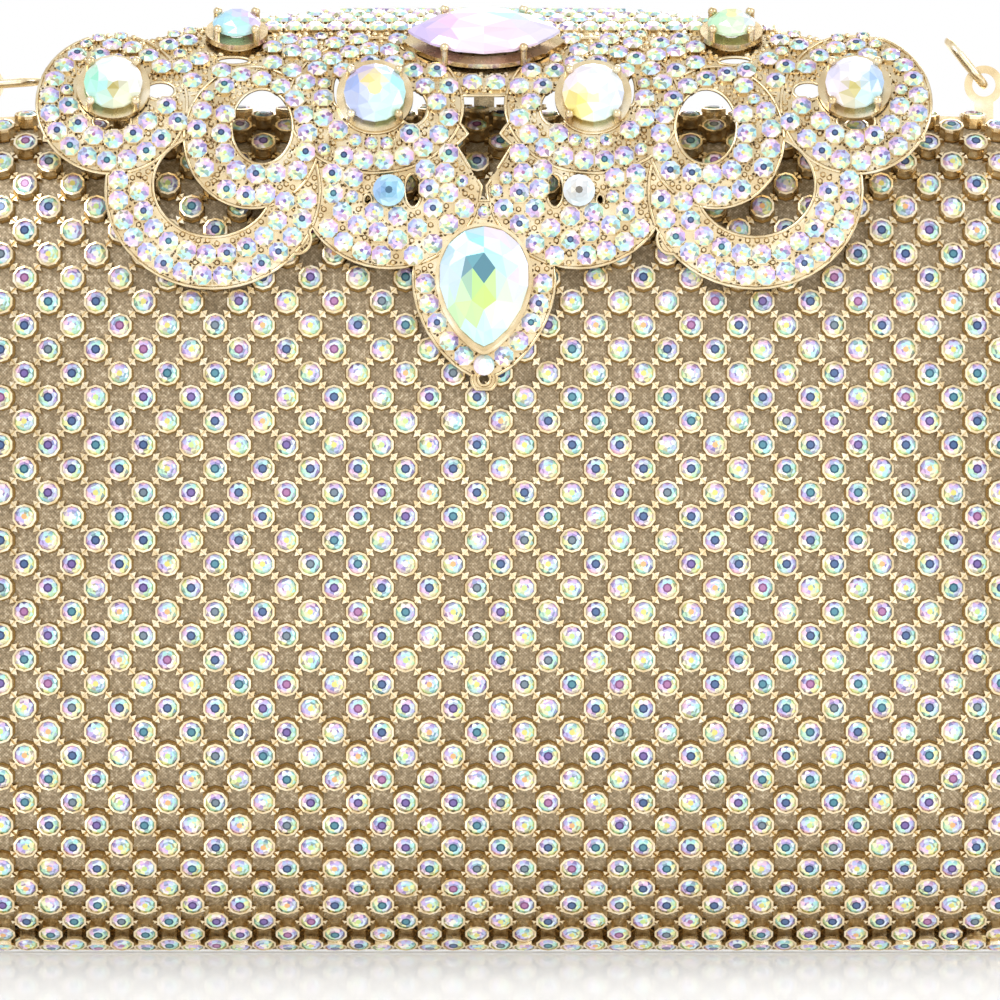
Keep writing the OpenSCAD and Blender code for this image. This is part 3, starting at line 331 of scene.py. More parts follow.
def coated_crystal(name, dark_share):
    """The dark share is how many of the stones show the room behind the viewer in their table."""
    material, tree, shader = new_material(name, Metallic=0.18, Roughness=0.07, IOR=1.6)
    cut = add(tree, "ShaderNodeSeparateXYZ", {0: add(tree, "ShaderNodeAttribute",
        attribute_name="cut").outputs["Vector"]})
    chance = add(tree, "ShaderNodeSeparateXYZ", {0: add(tree, "ShaderNodeAttribute",
        attribute_name="chance").outputs["Vector"]})
    own_turn = add(tree, "ShaderNodeMath", {0: chance.outputs[0], 1: 0.6, 2: cut.outputs[0]},
        operation="MULTIPLY_ADD")
    flicker = add(tree, "ShaderNodeMath", {0: cut.outputs[2], 1: 0.3, 2: own_turn.outputs[0]},
        operation="MULTIPLY_ADD")
    hue = add(tree, "ShaderNodeMath", {0: flicker.outputs[0]}, operation="FRACT")
    pastel = add(tree, "ShaderNodeValToRGB", {0: hue.outputs[0]}, stops=[(0.0, "#f5efd2"),
        (0.12, "#ecf0a6"), (0.22, "#bfe8c2"), (0.34, "#a9e2e6"), (0.46, "#e6f2f8"),
        (0.58, "#b6c4ef"), (0.7, "#c6b2e8"), (0.8, "#efc6e2"), (0.9, "#f8f1ea")])
    # Painted glints: each facet is made lighter or darker, as reflections of bright and dark parts
    # of the room make it
    glint = add(tree, "ShaderNodeValToRGB", {0: add(tree, "ShaderNodeMath", {
        0: add(tree, "ShaderNodeMath", {0: cut.outputs[2], 1: 7.3, 2: chance.outputs[2]},
            operation="MULTIPLY_ADD").outputs[0]}, operation="FRACT").outputs[0]},
        stops=[(0.0, "#a7a2b4"), (0.16, "#d3d0dc"), (0.4, "#ffffff")])
    crown = add(tree, "ShaderNodeMix", {"Factor": 1.0, 6: pastel.outputs[0], 7: glint.outputs[0]},
        data_type="RGBA", blend_type="MULTIPLY")
    # Painted reflection: on a dark stone the iris and the heart are the room behind the viewer,
    # reflected in the table
    iris = add(tree, "ShaderNodeValToRGB", {0: chance.outputs[1]}, stops=[(0.0, "#2c3d63"),
        (0.2, "#26566a"), (0.33, "#4b3a6e"), (0.42, "#45525f"), (0.5, "#7c4a75")])
    heart = add(tree, "ShaderNodeValToRGB", {0: chance.outputs[1]}, stops=[(0.0, "#4a6590"),
        (0.2, "#4f8796"), (0.33, "#7561a0"), (0.42, "#72828e"), (0.5, "#a9729f"),
        (0.56, "#dfd67c"), (0.74, "#e9b27a"), (0.84, "#f2efe2"), (0.93, "#c6df8e")])
    for ramp in (iris, heart):
        ramp.color_ramp.interpolation = "CONSTANT"
    is_dark = add(tree, "ShaderNodeMath", {0: chance.outputs[1], 1: dark_share},
        operation="LESS_THAN")
    in_iris = add(tree, "ShaderNodeMath", {0: cut.outputs[1], 1: IRIS + 0.5},
        operation="LESS_THAN")
    shown = add(tree, "ShaderNodeMath", {0: is_dark.outputs[0], 1: in_iris.outputs[0]},
        operation="MULTIPLY")
    ringed = add(tree, "ShaderNodeMix", {"Factor": shown.outputs[0], 6: crown.outputs[2],
        7: iris.outputs[0]}, data_type="RGBA")
    in_heart = add(tree, "ShaderNodeMath", {0: cut.outputs[1], 1: HEART + 0.5},
        operation="LESS_THAN")
    whole = add(tree, "ShaderNodeMix", {"Factor": in_heart.outputs[0], 6: ringed.outputs[2],
        7: heart.outputs[0]}, data_type="RGBA")
    tree.links.new(whole.outputs[2], shader.inputs["Base Color"])
    return material


# %% Large coated crystals, which carry a colour for each facet
def faceted_crystal():
    material, tree, shader = new_material("lead crystal, aurora coated and hand cut",
        Metallic=0.12, Roughness=0.05, IOR=1.6)
    # Painted reflection: each facet's colour is the coating's pastel with the studio and the room
    # reflected in it
    pastel_and_painted_reflection = add(tree, "ShaderNodeAttribute", attribute_name="pastel_and_painted_reflection")
    tree.links.new(pastel_and_painted_reflection.outputs["Color"], shader.inputs["Base Color"])
    return material


mesh_crystal = coated_crystal("lead crystal, aurora coated", 0.56)
pave_crystal = coated_crystal("lead crystal, aurora coated, under a lamp", 0.3)
large_crystal = faceted_crystal()

# %% [markdown]
# ## Cloth and plastic
# The cloth behind the mesh is woven of metallic thread and laid on the bias, so its threads run
# at 45 degrees and glitter in small points, whose palest tone is a painted highlight. Real threads
# are a quarter of a millimetre apart, and here a little more, so that they still show. The
# pattern follows a UV map in millimetres, because the cloth turns round the case's edges. The
# lining is a satin, with long floats that give it a sheen, and the shell is moulded ABS.


# %% Cloth materials
def metallic_cloth():
    material, tree, shader = new_material("metallic thread cloth, woven on the bias",
        Metallic=0.35, Roughness=0.5)
    flat = add(tree, "ShaderNodeSeparateXYZ", {0: add(tree, "ShaderNodeUVMap",
        uv_map="cloth in mm").outputs["UV"]})
    place = add(tree, "ShaderNodeTexCoord").outputs["Object"]
    drift = add(tree, "ShaderNodeTexNoise", {"Vector": place, "Scale": 1 / (0.45 * MM),
        "Detail": 3.0})
    thread_step = 0.3
    threads = []
    for way in (1, -1):
        run = add(tree, "ShaderNodeMath", {0: flat.outputs[1], 1: way, 2: flat.outputs[0]},
            operation="MULTIPLY_ADD")
        turned = add(tree, "ShaderNodeMath", {0: run.outputs[0],
            1: 2 * math.pi / (thread_step * math.sqrt(2))}, operation="MULTIPLY")
        threads.append(add(tree, "ShaderNodeMath", {0: turned.outputs[0]}, operation="SINE"))
    woven = add(tree, "ShaderNodeMath", {0: threads[0].outputs[0], 1: threads[1].outputs[0]},
        operation="MAXIMUM")
    # The weave and the random drift are the cloth's own tone; the palest stop is a painted
    # highlight, the glitter of the metallic threads
    catch = add(tree, "ShaderNodeMath", {0: woven.outputs[0], 1: 0.1, 2: drift.outputs[0]},
        operation="MULTIPLY_ADD")
    tone = add(tree, "ShaderNodeValToRGB", {0: catch.outputs[0]}, stops=[(0.34, "#837359"),
        (0.48, "#9b8a6e"), (0.62, "#b29f82"), (0.8, "#e6dac1")])
    bump = add(tree, "ShaderNodeBump", {"Height": catch.outputs[0], "Strength": 0.5,
        "Distance": 0.08 * MM})
    tree.links.new(tone.outputs[0], shader.inputs["Base Color"])
    tree.links.new(bump.outputs[0], shader.inputs["Normal"])
    return material


def satin():
    material, tree, shader = new_material("polyester satin", Roughness=0.42)
    shader.inputs["Sheen Weight"].default_value = 0.4
    place = add(tree, "ShaderNodeTexCoord").outputs["Object"]
    floats = add(tree, "ShaderNodeTexWave", {"Vector": place, "Scale": 1 / (1.6 * MM),
        "Distortion": 1.5, "Detail": 1.0}, bands_direction="Z")
    cloudy = add(tree, "ShaderNodeTexNoise", {"Vector": place, "Scale": 1 / (9 * MM)})
    blend = add(tree, "ShaderNodeMath", {0: floats.outputs["Fac"], 1: 0.25, 2: cloudy.outputs[0]},
        operation="MULTIPLY_ADD")
    tone = add(tree, "ShaderNodeValToRGB", {0: blend.outputs[0]}, stops=[(0.3, "#b9a684"),
        (0.8, "#dccdae")])
    bump = add(tree, "ShaderNodeBump", {"Height": floats.outputs["Fac"], "Strength": 0.25,
        "Distance": 0.05 * MM})
    tree.links.new(tone.outputs[0], shader.inputs["Base Color"])
    tree.links.new(bump.outputs[0], shader.inputs["Normal"])
    return material


def moulded_abs():
    material, tree, shader = new_material("moulded ABS", Roughness=0.55)
    place = add(tree, "ShaderNodeTexCoord").outputs["Object"]
    grain = add(tree, "ShaderNodeTexNoise", {"Vector": place, "Scale": 1 / (0.7 * MM)})
    tone = add(tree, "ShaderNodeValToRGB", {0: grain.outputs[0]}, stops=[(0.3, "#857d6e"),
        (0.7, "#978f80")])
    bump = add(tree, "ShaderNodeBump", {"Height": grain.outputs[0], "Strength": 0.3,
        "Distance": 0.05 * MM})
    tree.links.new(tone.outputs[0], shader.inputs["Base Color"])
    tree.links.new(bump.outputs[0], shader.inputs["Normal"])
    return material


cloth = metallic_cloth()
lining_satin = satin()
abs_plastic = moulded_abs()

# %% [markdown]
# ## The case's form
# The case is a soft box. Seen from the front it is a superellipse that grows squarer from the
# middle to the outline, and its depth falls away to the seam by a power that differs at the top,
# the bottom and the sides. The same formula gave the CAD skins, so the cloth, the lining and
# every cup of the mesh can be laid exactly on it.

# %% Formula of the form
belly_power, outline_power = 2.6, 7
round_off = {"top": (3.4, 0.31), "bottom": (2.4, 0.5), "side": (3.3, 0.4)}


def squareness(q):
    return belly_power + (outline_power - belly_power) * q ** 3


def round_powers(upper, side_share):
    """The two powers of the fall to the seam, mixed by how far to the side a point lies."""
    powers = []
    for i in (0, 1):
        end = np.where(upper, round_off["top"][i], round_off["bottom"][i])
        powers.append(end + (round_off["side"][i] - end) * side_share)
    return powers


def spread(x, z, inset):
    """How far out a point lies, 0 at the middle and 1 at the outline, and its share of side."""
    across = np.abs(x) / (half_w - inset)
    up = np.abs(z - belly_h) / (np.where(z > belly_h, case_h - belly_h, belly_h) - inset)
    low, high = np.full(np.shape(across), 1e-6), np.full(np.shape(across), 1.4)
    for _ in range(44):
        q = (low + high) / 2
        outside = (across / q) ** squareness(q) + (up / q) ** squareness(q) > 1
        low, high = np.where(outside, q, low), np.where(outside, high, q)
    return q, (across / q) ** squareness(q)


def depth_at(x, z, inset):
    q, side_share = spread(x, z, inset)
    power, root = round_powers(z > belly_h, side_share)
    return (half_d - inset) * np.clip(1 - q ** power, 0, None) ** root


def fall(x, y, z, inset):
    """Zero on the form, and growing outwards."""
    q, side_share = spread(x, z, inset)
    power, root = round_powers(z > belly_h, side_share)
    return (np.abs(y) / (half_d - inset)) ** (1 / root) + q ** power - 1


def outward(x, y, z, inset):
    """Unit normals of the form, from small differences of its formula."""
    step = 0.02
    slopes = [fall(x + step, y, z, inset) - fall(x - step, y, z, inset),
        fall(x, y + step, z, inset) - fall(x, y - step, z, inset),
        fall(x, y, z + step, inset) - fall(x, y, z - step, inset)]
    normals = np.stack(slopes, axis=-1)
    return normals / np.linalg.norm(normals, axis=-1, keepdims=True)


# %% [markdown]
# ## Cloth and lining
# Both are bowls: a fan of rings from the middle of the half to its edge, once for each face of
# the cloth, joined round the edge. They are finer than the CAD skins that they replace, so the
# curve of the case stays smooth in a reflection.


# %% The cloth laid flat
def lay_flat(piece, flat):
    """A UV map in millimetres, from where each point lies on the flat cloth."""
    layer = piece.data.uv_layers.new(name="cloth in mm")
    corners = np.array([loop.vertex_index for loop in piece.data.loops])
    layer.data.foreach_set("uv", np.asarray(flat, dtype=float)[corners].ravel())


def cut_size(piece):
    """Width, length and area of the cloth that a bowl was pressed from, in metres."""
    layer = np.array([loop.uv for loop in piece.data.uv_layers[0].data]) * MM
    width, length = layer.max(axis=0) - layer.min(axis=0)
    area = sum(face.area for face in piece.data.polygons) / 2
    return (float(width), float(length)), area


# %% Bowls that follow the form
def bowl(name, side, inset, thickness, edge, material, sides=160, rings=40):
    angles = (np.arange(sides) + 0.5) * 2 * math.pi / sides
    cosines, sines = np.cos(angles), np.sin(angles)
    power, root = round_powers(sines > 0, cosines ** 2)
    sheets, flat = [], []
    for depth in (inset, inset + thickness):
        edge_q = (1 - (edge / (half_d - depth)) ** (1 / root)) ** (1 / power)
        height = np.where(sines > 0, case_h - belly_h, belly_h) - depth
        last_ring = np.tile([0, side * (half_d - depth) + seam_y, belly_h], (sides, 1))
        gone = np.zeros(sides)
        sheets.append(last_ring[0])
        flat.append([0, 0])
        for k in range(1, rings + 1):
            q = edge_q * math.sin(math.pi / 2 * k / rings)
            square = 2 / squareness(q)
            x = np.sign(cosines) * (half_w - depth) * q * np.abs(cosines) ** square
            y = side * (half_d - depth) * (1 - q ** power) ** root + seam_y
            z = belly_h + np.sign(sines) * height * q * np.abs(sines) ** square
            ring = np.stack([x, y, z], axis=-1)
            gone += np.linalg.norm(ring - last_ring, axis=1)
            stretch = gone / np.hypot(x, z - belly_h)
            sheets.extend(ring)
            flat.extend(np.stack([x * stretch, (z - belly_h) * stretch], axis=-1))
            last_ring = ring
    inner = 1 + sides * rings
    outside = [(0, 1 + i, 1 + (i + 1) % sides) for i in range(sides)]
    for k in range(rings - 1):
        first, then = 1 + k * sides, 1 + (k + 1) * sides
        outside += [(first + i, then + i, then + (i + 1) % sides, first + (i + 1) % sides)
            for i in range(sides)]
    inside = [tuple(p + inner for p in reversed(face)) for face in outside]
    last = 1 + (rings - 1) * sides
    lip = [(last + i, inner + last + i, inner + last + (i + 1) % sides, last + (i + 1) % sides)
        for i in range(sides)]
    faces = outside + inside + lip
    if side == FRONT:
        faces = [tuple(reversed(face)) for face in faces]
    made = new_object(name, sheets, [tuple(reversed(face)) for face in faces], material,
        smooth=True)
    lay_flat(made, flat)
    return made


mesh_t, glue, cloth_t, shell_t, lining_t = 2.0, 0.1, 0.4, 1.4, 0.5
cloth_in = mesh_t + glue
lining_in = cloth_in + cloth_t + glue + shell_t + glue
shell_edge = edge_y - 0.15
for side, half in HALVES.items():
    skin = bowl(half + "_cloth", side, cloth_in, cloth_t, edge_y, cloth)
    dressed(skin, half + "_half", "champagne_cloth", half + "_fabric")
    lining = bowl(half + "_satin_lining", side, lining_in, lining_t, shell_edge, lining_satin)
    dressed(lining, half + "_half", "satin_lining", half + "_lining")
    for piece in (skin, lining):
        flat, area = cut_size(piece)
        print(piece.name, "cut to", [round(v / MM) for v in flat], "mm, area", round(area, 4))

# %% [markdown]
# ## Card pocket
# A pocket in a lining is a flat panel sewn on at its sides and its foot. It stands off by the
# thickness of a few cards and falls to the lining where it is sewn. Its mouth is turned over
# twice, which makes a thicker hem. A grid that follows the lining's formula gives all of this
# without a simulation, because the panel is stretched between its seams.


# %% Pocket sewn to the back lining
def smooth_step(share):
    share = np.clip(share, 0, 1)
    return share * share * (3 - 2 * share)


def pocket_panel(name, material, across=96, up=60):
    low, high = (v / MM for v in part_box("slip_pocket"))
    fall_w, seam_gap, panel_t, hem_h, hem_t = 5, 0.15, 0.5, 4, 0.8
    room_y = low.y + panel_t
    x, z = np.meshgrid(np.linspace(low.x, high.x, across), np.linspace(low.z, high.z, up))
    stand = smooth_step((high.x - np.abs(x)) / fall_w) * smooth_step((z - low.z) / fall_w)
    back = seam_y + depth_at(x, z, lining_in + lining_t) - seam_gap
    outer = back - (back - room_y) * stand
    thick = np.where(z > high.z - hem_h, hem_t, panel_t)
    sheets = [np.stack([x, y, z], axis=-1) for y in (outer, outer - thick)]
    n = across * up
    quads = [(j * across + i, j * across + i + 1, (j + 1) * across + i + 1, (j + 1) * across + i)
        for j in range(up - 1) for i in range(across - 1)]
    rim = list(range(across)) + [j * across + across - 1 for j in range(1, up)]
    rim += [(up - 1) * across + i for i in reversed(range(across - 1))]
    rim += [j * across for j in reversed(range(1, up - 1))]
    faces = [tuple(reversed(quad)) for quad in quads]
    faces += [tuple(n + v for v in quad) for quad in quads]
    faces += [(a, b, b + n, a + n) for a, b in zip(rim, rim[1:] + rim[:1])]
    made = new_object(name, np.concatenate([s.reshape(-1, 3) for s in sheets]), faces, material,
        smooth=True)
    wide = np.linalg.norm(np.diff(sheets[0], axis=1), axis=2).sum(axis=1).max()
    tall = np.linalg.norm(np.diff(sheets[0], axis=0), axis=2).sum(axis=0).max()
    area = sum(face.area for face in made.data.polygons[:len(quads)])
    return made, (float(wide * MM), float(tall * MM)), area


pocket, flat, area = pocket_panel("back_satin_pocket", lining_satin)
dressed(pocket, "back_half", "satin_lining", "slip_pocket")
print("pocket cut to", [round(v / MM) for v in flat], "mm")

# %% [markdown]
# ## Strips under the base
# A stiff strip, covered in the same cloth, closes each half below, behind the rows of cups that
# look down. Its section is drawn once, as distances from the seam and heights.

# %% Cloth-covered strips under the base
base_half_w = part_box("back_base_mesh")[1].x / MM
strip_profile = ((3.2, 0.4), (3.5, 0.4), (3.9, 2.05), (5.6, 2.75), (5.4, 3.05), (3.2, 2.6))
for side, half in HALVES.items():
    n = len(strip_profile)
    points = [(x, seam_y + side * y, z) for x in (-base_half_w, base_half_w)
        for y, z in strip_profile]
    faces = [(i, (i + 1) % n, n + (i + 1) % n, n + i) for i in range(n)]
    faces += [tuple(reversed(range(n))), tuple(range(n, 2 * n))]
    if side == BACK:
        faces = [tuple(reversed(face)) for face in faces]
    strip = new_object(half + "_base_strip", points, faces, cloth)
    lay_flat(strip, [(x, y + z) for x, y, z in points])
    dressed(strip, half + "_half", "champagne_cloth")

# %% [markdown]
# ## Laying out the rhinestone mesh
# The mesh is a square net turned by 45 degrees. Its stones lie in level rows, 6.06 mm apart in a
# row, and the rows are 3.03 mm apart and shifted by half a step. The net is laid as a maker lays
# it: the rows start at the middle of the front and go round the case at their own height, and
# where rows run together at the corners, the cups that would collide are left out.

# %% Rows of cups
row_step = 3.03
stone_step = 2 * row_step
first_row_z = 58.9
net_shift = -0.9
cup_r = 1.5
overlap = 0.04
clear_step = 2 * cup_r - overlap


def arc_lengths(*coordinates):
    steps = np.sqrt(sum(np.diff(c) ** 2 for c in coordinates))
    return np.concatenate([[0], np.cumsum(steps)])


def row_heights(inset):
    """Heights at which the rows cross the case's middle, and their numbers, up and down."""
    samples = 9001
    up = np.sin(np.linspace(-math.pi / 2, math.pi / 2, samples))
    z = belly_h + up * (np.where(up > 0, case_h - belly_h, belly_h) - inset)
    y = depth_at(np.zeros_like(z), z, inset)
    gone = arc_lengths(y, z)
    gone -= np.interp(first_row_z, z, gone)
    deep = gone[y > edge_y + cup_r]
    numbers = range(math.ceil(deep[0] / row_step), math.floor(deep[-1] / row_step) + 1)
    return [(k, float(np.interp(k * row_step, gone, z))) for k in sorted(numbers, key=abs)]


def row_curve(z, inset):
    """One level row from the middle to its end: x, depth and the distance along it."""
    up = abs(z - belly_h) / ((case_h - belly_h if z > belly_h else belly_h) - inset)
    reach = (half_w - inset) * max(1 - up ** outline_power, 0) ** (1 / outline_power)
    samples = 4000
    x = reach * np.sin(np.linspace(0, math.pi / 2, samples))
    y = depth_at(x, np.full_like(x, z), inset)
    return x, y, arc_lengths(x, y)


def net_places(inset):
    """Places, row directions and row numbers of the cups, from the middle of each row out."""
    cups = []
    kept = np.empty((0, 3))
    next_to = 0.1
    for number, z in row_heights(inset):
        x, y, gone = row_curve(z, inset)
        end = np.max(gone[y > edge_y + cup_r]) if np.any(y > edge_y + cup_r) else 0
        shift = net_shift + (number % 2) * row_step
        first = math.ceil((-end - shift) / row_step)
        last = math.floor((end - shift) / row_step)
        for k in sorted(range(first + first % 2, last + 1, 2), key=abs):
            run = shift + k * row_step
            px = math.copysign(float(np.interp(abs(run), gone, x)), run)
            py = float(np.interp(abs(run), gone, y))
            ahead = float(np.interp(abs(run) + next_to, gone, x)) - abs(px)
            deeper = float(np.interp(abs(run) + next_to, gone, y)) - py
            along = (ahead, math.copysign(1, run) * deeper, 0)
            place = np.array([px, py, z])
            gaps = np.linalg.norm(kept - place, axis=1)
            if np.all(gaps > clear_step):
                cups.append((place, along, number))
                kept = np.vstack([kept, place])
    return cups


cups = net_places(cloth_in)
cup_places = np.array([c[0] for c in cups])
cup_normals = outward(*cup_places.T, cloth_in)
cup_along = np.array([c[1] for c in cups])
cup_rows = np.array([c[2] for c in cups])
print("cups on each half:", len(cups))


# %% Rows under the base
# The lowest rows lie on the floor, which rocks their cups outwards. Under the case follow two
# rows that look down and a little out: how far each stands out, its height, how much it looks
# out rather than down, and its shift along the row.
last_upright_row, rock_out = -17, 0.28
cup_normals[cup_rows < last_upright_row] += (0, rock_out, 0)
cup_normals /= np.linalg.norm(cup_normals, axis=1, keepdims=True)
base_rows = ((5.3, 2.5, 0.5, row_step), (4.2, 2.3, 0.3, 0))


def base_cups():
    places, normals = [], []
    for y, z, out, shift in base_rows:
        reach = base_half_w - cup_r
        count = int((reach - shift) // stone_step)
        spots = {round(side * (shift + k * stone_step), 3) for k in range(count + 1)
            for side in (-1, 1)}
        places += [(x + net_shift, y, z) for x in sorted(spots)]
        normals += [(0.0, out, -math.sqrt(1 - out ** 2))] * len(spots)
    return np.array(places), np.array(normals)


under, under_normals = base_cups()
all_places = np.vstack([cup_places, under])
all_normals = np.vstack([cup_normals, under_normals])
all_along = np.vstack([cup_along, np.tile([1.0, 0.0, 0.0], (len(under), 1))])
print("cups under each half:", len(under))


# %% Links between cups of neighbouring rows
def net_links():
    """Midway between each cup and those of the row above that lie a net's step away."""
    nearest, furthest = 3.6, 5.0
    places, normals, along = [], [], []
    for i, place in enumerate(cup_places):
        gaps = np.linalg.norm(cup_places - place, axis=1)
        near = (cup_rows == cup_rows[i] + 1) & (gaps > nearest) & (gaps < furthest)
        for j in np.nonzero(near)[0]:
            places.append((place + cup_places[j]) / 2)
            normals.append(cup_normals[i] + cup_normals[j])
            along.append(cup_places[j] - place)
    return np.array(places), np.array(normals), np.array(along)


link_places, link_normals, link_along = net_links()
print("links on each half:", len(link_places))

# %% [markdown]
# ## Geometry Nodes that set a shape on points
# More than a thousand equal cups are best made by instancing one shape on points. The tree turns
# each instance by two named attributes of its point, gives it a random vector from a fixed seed,
# and ends in real geometry with its material, because an export drops instances.


# %% The tree
def setting_tree():
    tree = bpy.data.node_groups.new("set a shape on points", "GeometryNodeTree")
    for name, kind in (("Points", "NodeSocketGeometry"), ("Shape", "NodeSocketObject"),
            ("Material", "NodeSocketMaterial"), ("Seed", "NodeSocketInt")):
        tree.interface.new_socket(name=name, in_out="INPUT", socket_type=kind)
    tree.interface.new_socket(name="Pieces", in_out="OUTPUT", socket_type="NodeSocketGeometry")
    given = add(tree, "NodeGroupInput")
    facing = add(tree, "GeometryNodeInputNamedAttribute", {"Name": "facing"},
        data_type="FLOAT_VECTOR")
    along = add(tree, "GeometryNodeInputNamedAttribute", {"Name": "along"},
        data_type="FLOAT_VECTOR")
    stood = add(tree, "FunctionNodeAlignRotationToVector", {"Vector": facing.outputs[0]}, axis="Z")
    turned = add(tree, "FunctionNodeAlignRotationToVector", {"Rotation": stood.outputs[0],
        "Vector": along.outputs[0]}, axis="X", pivot_axis="Z")
    shape = add(tree, "GeometryNodeObjectInfo", {"Object": given.outputs["Shape"]})
    placed = add(tree, "GeometryNodeInstanceOnPoints", {"Points": given.outputs["Points"],
        "Instance": shape.outputs["Geometry"], "Rotation": turned.outputs[0]})
    chance = add(tree, "FunctionNodeRandomValue", {"Seed": given.outputs["Seed"]},
        data_type="FLOAT_VECTOR")
    stored = add(tree, "GeometryNodeStoreNamedAttribute", {"Geometry": placed.outputs[0],
        "Name": "chance", "Value": chance.outputs[0]}, data_type="FLOAT_VECTOR", domain="INSTANCE")
    real = add(tree, "GeometryNodeRealizeInstances", {0: stored.outputs[0]})
    painted = add(tree, "GeometryNodeSetMaterial", {"Geometry": real.outputs[0],
        "Material": given.outputs["Material"]})
    add(tree, "NodeGroupOutput", {0: painted.outputs[0]})
    return tree


on_points = setting_tree()


def with_modifier(name, source, tree, **inputs):
    """Runs a tree on an object, and keeps the result as a plain mesh object of its own."""
    modifier = source.modifiers.new("tree", "NODES")
    modifier.node_group = tree
    names = {item.name: item.identifier for item in tree.interface.items_tree
        if item.in_out == "INPUT"}
    for key, value in inputs.items():
        modifier[names[key]] = value
    bpy.context.view_layer.update()
    graph = bpy.context.evaluated_depsgraph_get()
    mesh = bpy.data.meshes.new_from_object(source.evaluated_get(graph), depsgraph=graph,
        preserve_all_data_layers=True)
    mesh.name = name
    for attribute in ("facing", "along"):
        if attribute in mesh.attributes:
            mesh.attributes.remove(mesh.attributes[attribute])
    source.modifiers.remove(modifier)
    bpy.data.objects.remove(source)
    made = bpy.data.objects.new(name, mesh)
    bpy.context.collection.objects.link(made)
    return made


def crosswise(count):
    """The case's long way, once for each point."""
    return np.tile([1.0, 0.0, 0.0], (count, 1))


def set_on(name, places, normals, along, shape, material, seed=0):
    """Sets a shape on places in millimetres."""
    shape.hide_render = True
    points = new_object(name + "_points", places, [])
    for key, values in (("facing", normals), ("along", along)):
        attribute = points.data.attributes.new(key, "FLOAT_VECTOR", "POINT")
        attribute.data.foreach_set("vector", np.asarray(values, dtype=float).ravel())
    return with_modifier(name, points, on_points, Shape=shape, Material=material, Seed=seed)


# %% [markdown]
# ## A cup, a stone and a link
# Each is one small closed mesh of a few dozen faces, drawn about the origin with its axis along
# Z. The cup stands on a thin flange, painted dark as the shade at the cup's foot, and bulges below
# its lip, as a stamped cup does when its edge is turned in over the stone. The stone has eight
# sides: a girdle, a crown of sixteen facets, and a flat table with a dark spot in its middle, the
# painted reflection of the room that a foiled stone shows. The link is a low bar between two cups,
# its foot painted darker as shade, and the corners of the net stand up beside it as two small nubs.


# %% Turned shapes
def ring_points(radius, height, sides, turn=0.0):
    angles = (np.arange(sides) + turn) * 2 * math.pi / sides
    return [(radius * math.cos(a), radius * math.sin(a), height) for a in angles]


def turned_shape(name, rings, sides):
    """A closed turned shape from (radius, height) rings, from its foot round to its floor."""
    points, faces = [], [tuple(reversed(range(sides)))]
    for radius, height in rings:
        points += ring_points(radius, height, sides, 0.5)
    for k in range(len(rings) - 1):
        low, up = k * sides, (k + 1) * sides
        faces += [(low + i, low + (i + 1) % sides, up + (i + 1) % sides, up + i)
            for i in range(sides)]
    faces.append(tuple(range((len(rings) - 1) * sides, len(rings) * sides)))
    return new_object(name, points, faces)


def cut_stone(name, radius, low, girdle, table, shares, seed, sides=8):
    """A stone whose faces carry their turn, their zone and a number of their own."""
    draw = random.Random(seed)
    points = ring_points(radius, low, sides, 0.5) + ring_points(radius, girdle, sides, 0.5)
    for share in shares:
        points += ring_points(radius * share, table, sides, 1.0)
    faces = [(tuple(reversed(range(sides))), 0, CROWN)]
    for i in range(sides):
        j, turn = (i + 1) % sides, (i + 0.5) / sides
        girdle_at, table_at, iris_at, heart_at = (k * sides for k in (1, 2, 3, 4))
        faces.append(((i, j, girdle_at + j, girdle_at + i), turn, CROWN))
        faces.append(((girdle_at + i, girdle_at + j, table_at + i), turn, CROWN))
        faces.append(((table_at + i, girdle_at + j, table_at + j), (turn + 0.5 / sides) % 1, CROWN))
        faces.append(((table_at + i, table_at + j, iris_at + j, iris_at + i), turn, TABLE))
        faces.append(((iris_at + i, iris_at + j, heart_at + j, heart_at + i), turn, IRIS))
    faces.append((tuple(range(4 * sides, 5 * sides)), 0, HEART))
    made = new_object(name, points, [f[0] for f in faces])
    cut = made.data.attributes.new("cut", "FLOAT_VECTOR", "FACE")
    cut.data.foreach_set("vector", [v for f in faces for v in (f[1], f[2], draw.random())])
    return made


def nubbed_link(name, half_long, half_wide, foot):
    """A low bar from cup to cup, and a raised three-sided nub on each side of it."""
    points = [(x, y, z) for z in (0, foot) for x, y in ((-half_long, -half_wide),
        (half_long, -half_wide), (half_long, half_wide), (-half_long, half_wide))]
    faces = [(3, 2, 1, 0), (4, 5, 6, 7), (0, 1, 5, 4), (1, 2, 6, 5), (2, 3, 7, 6), (3, 0, 4, 7)]
    near, far, half_base, peak = 0.1, 0.92, 0.46, 0.95
    end_slope, near_slope, far_slope = 0.14, 0.05, 0.18
    for side in (-1, 1):
        first = len(points)
        points += [(-half_base, side * near, 0), (half_base, side * near, 0), (0, side * far, 0),
            (-half_base + end_slope, side * (near + near_slope), peak),
            (half_base - end_slope, side * (near + near_slope), peak),
            (0, side * (far - far_slope), peak)]
        nub = [(0, 2, 1), (3, 4, 5), (0, 1, 4, 3), (1, 2, 5, 4), (2, 0, 3, 5)]
        for face in nub:
            turned = face if side == 1 else tuple(reversed(face))
            faces.append(tuple(first + p for p in turned))
    return new_object(name, points, faces)


def paint_shade_below(shape, below, amount=1.0):
    """Marks the faces that lie deep, below a height, to be painted dark as shade."""
    painted_shade = shape.data.attributes.new("painted_shade", "FLOAT", "FACE")
    painted_shade.data.foreach_set("value", [amount * (face.center.z < below * MM)
        for face in shape.data.polygons])


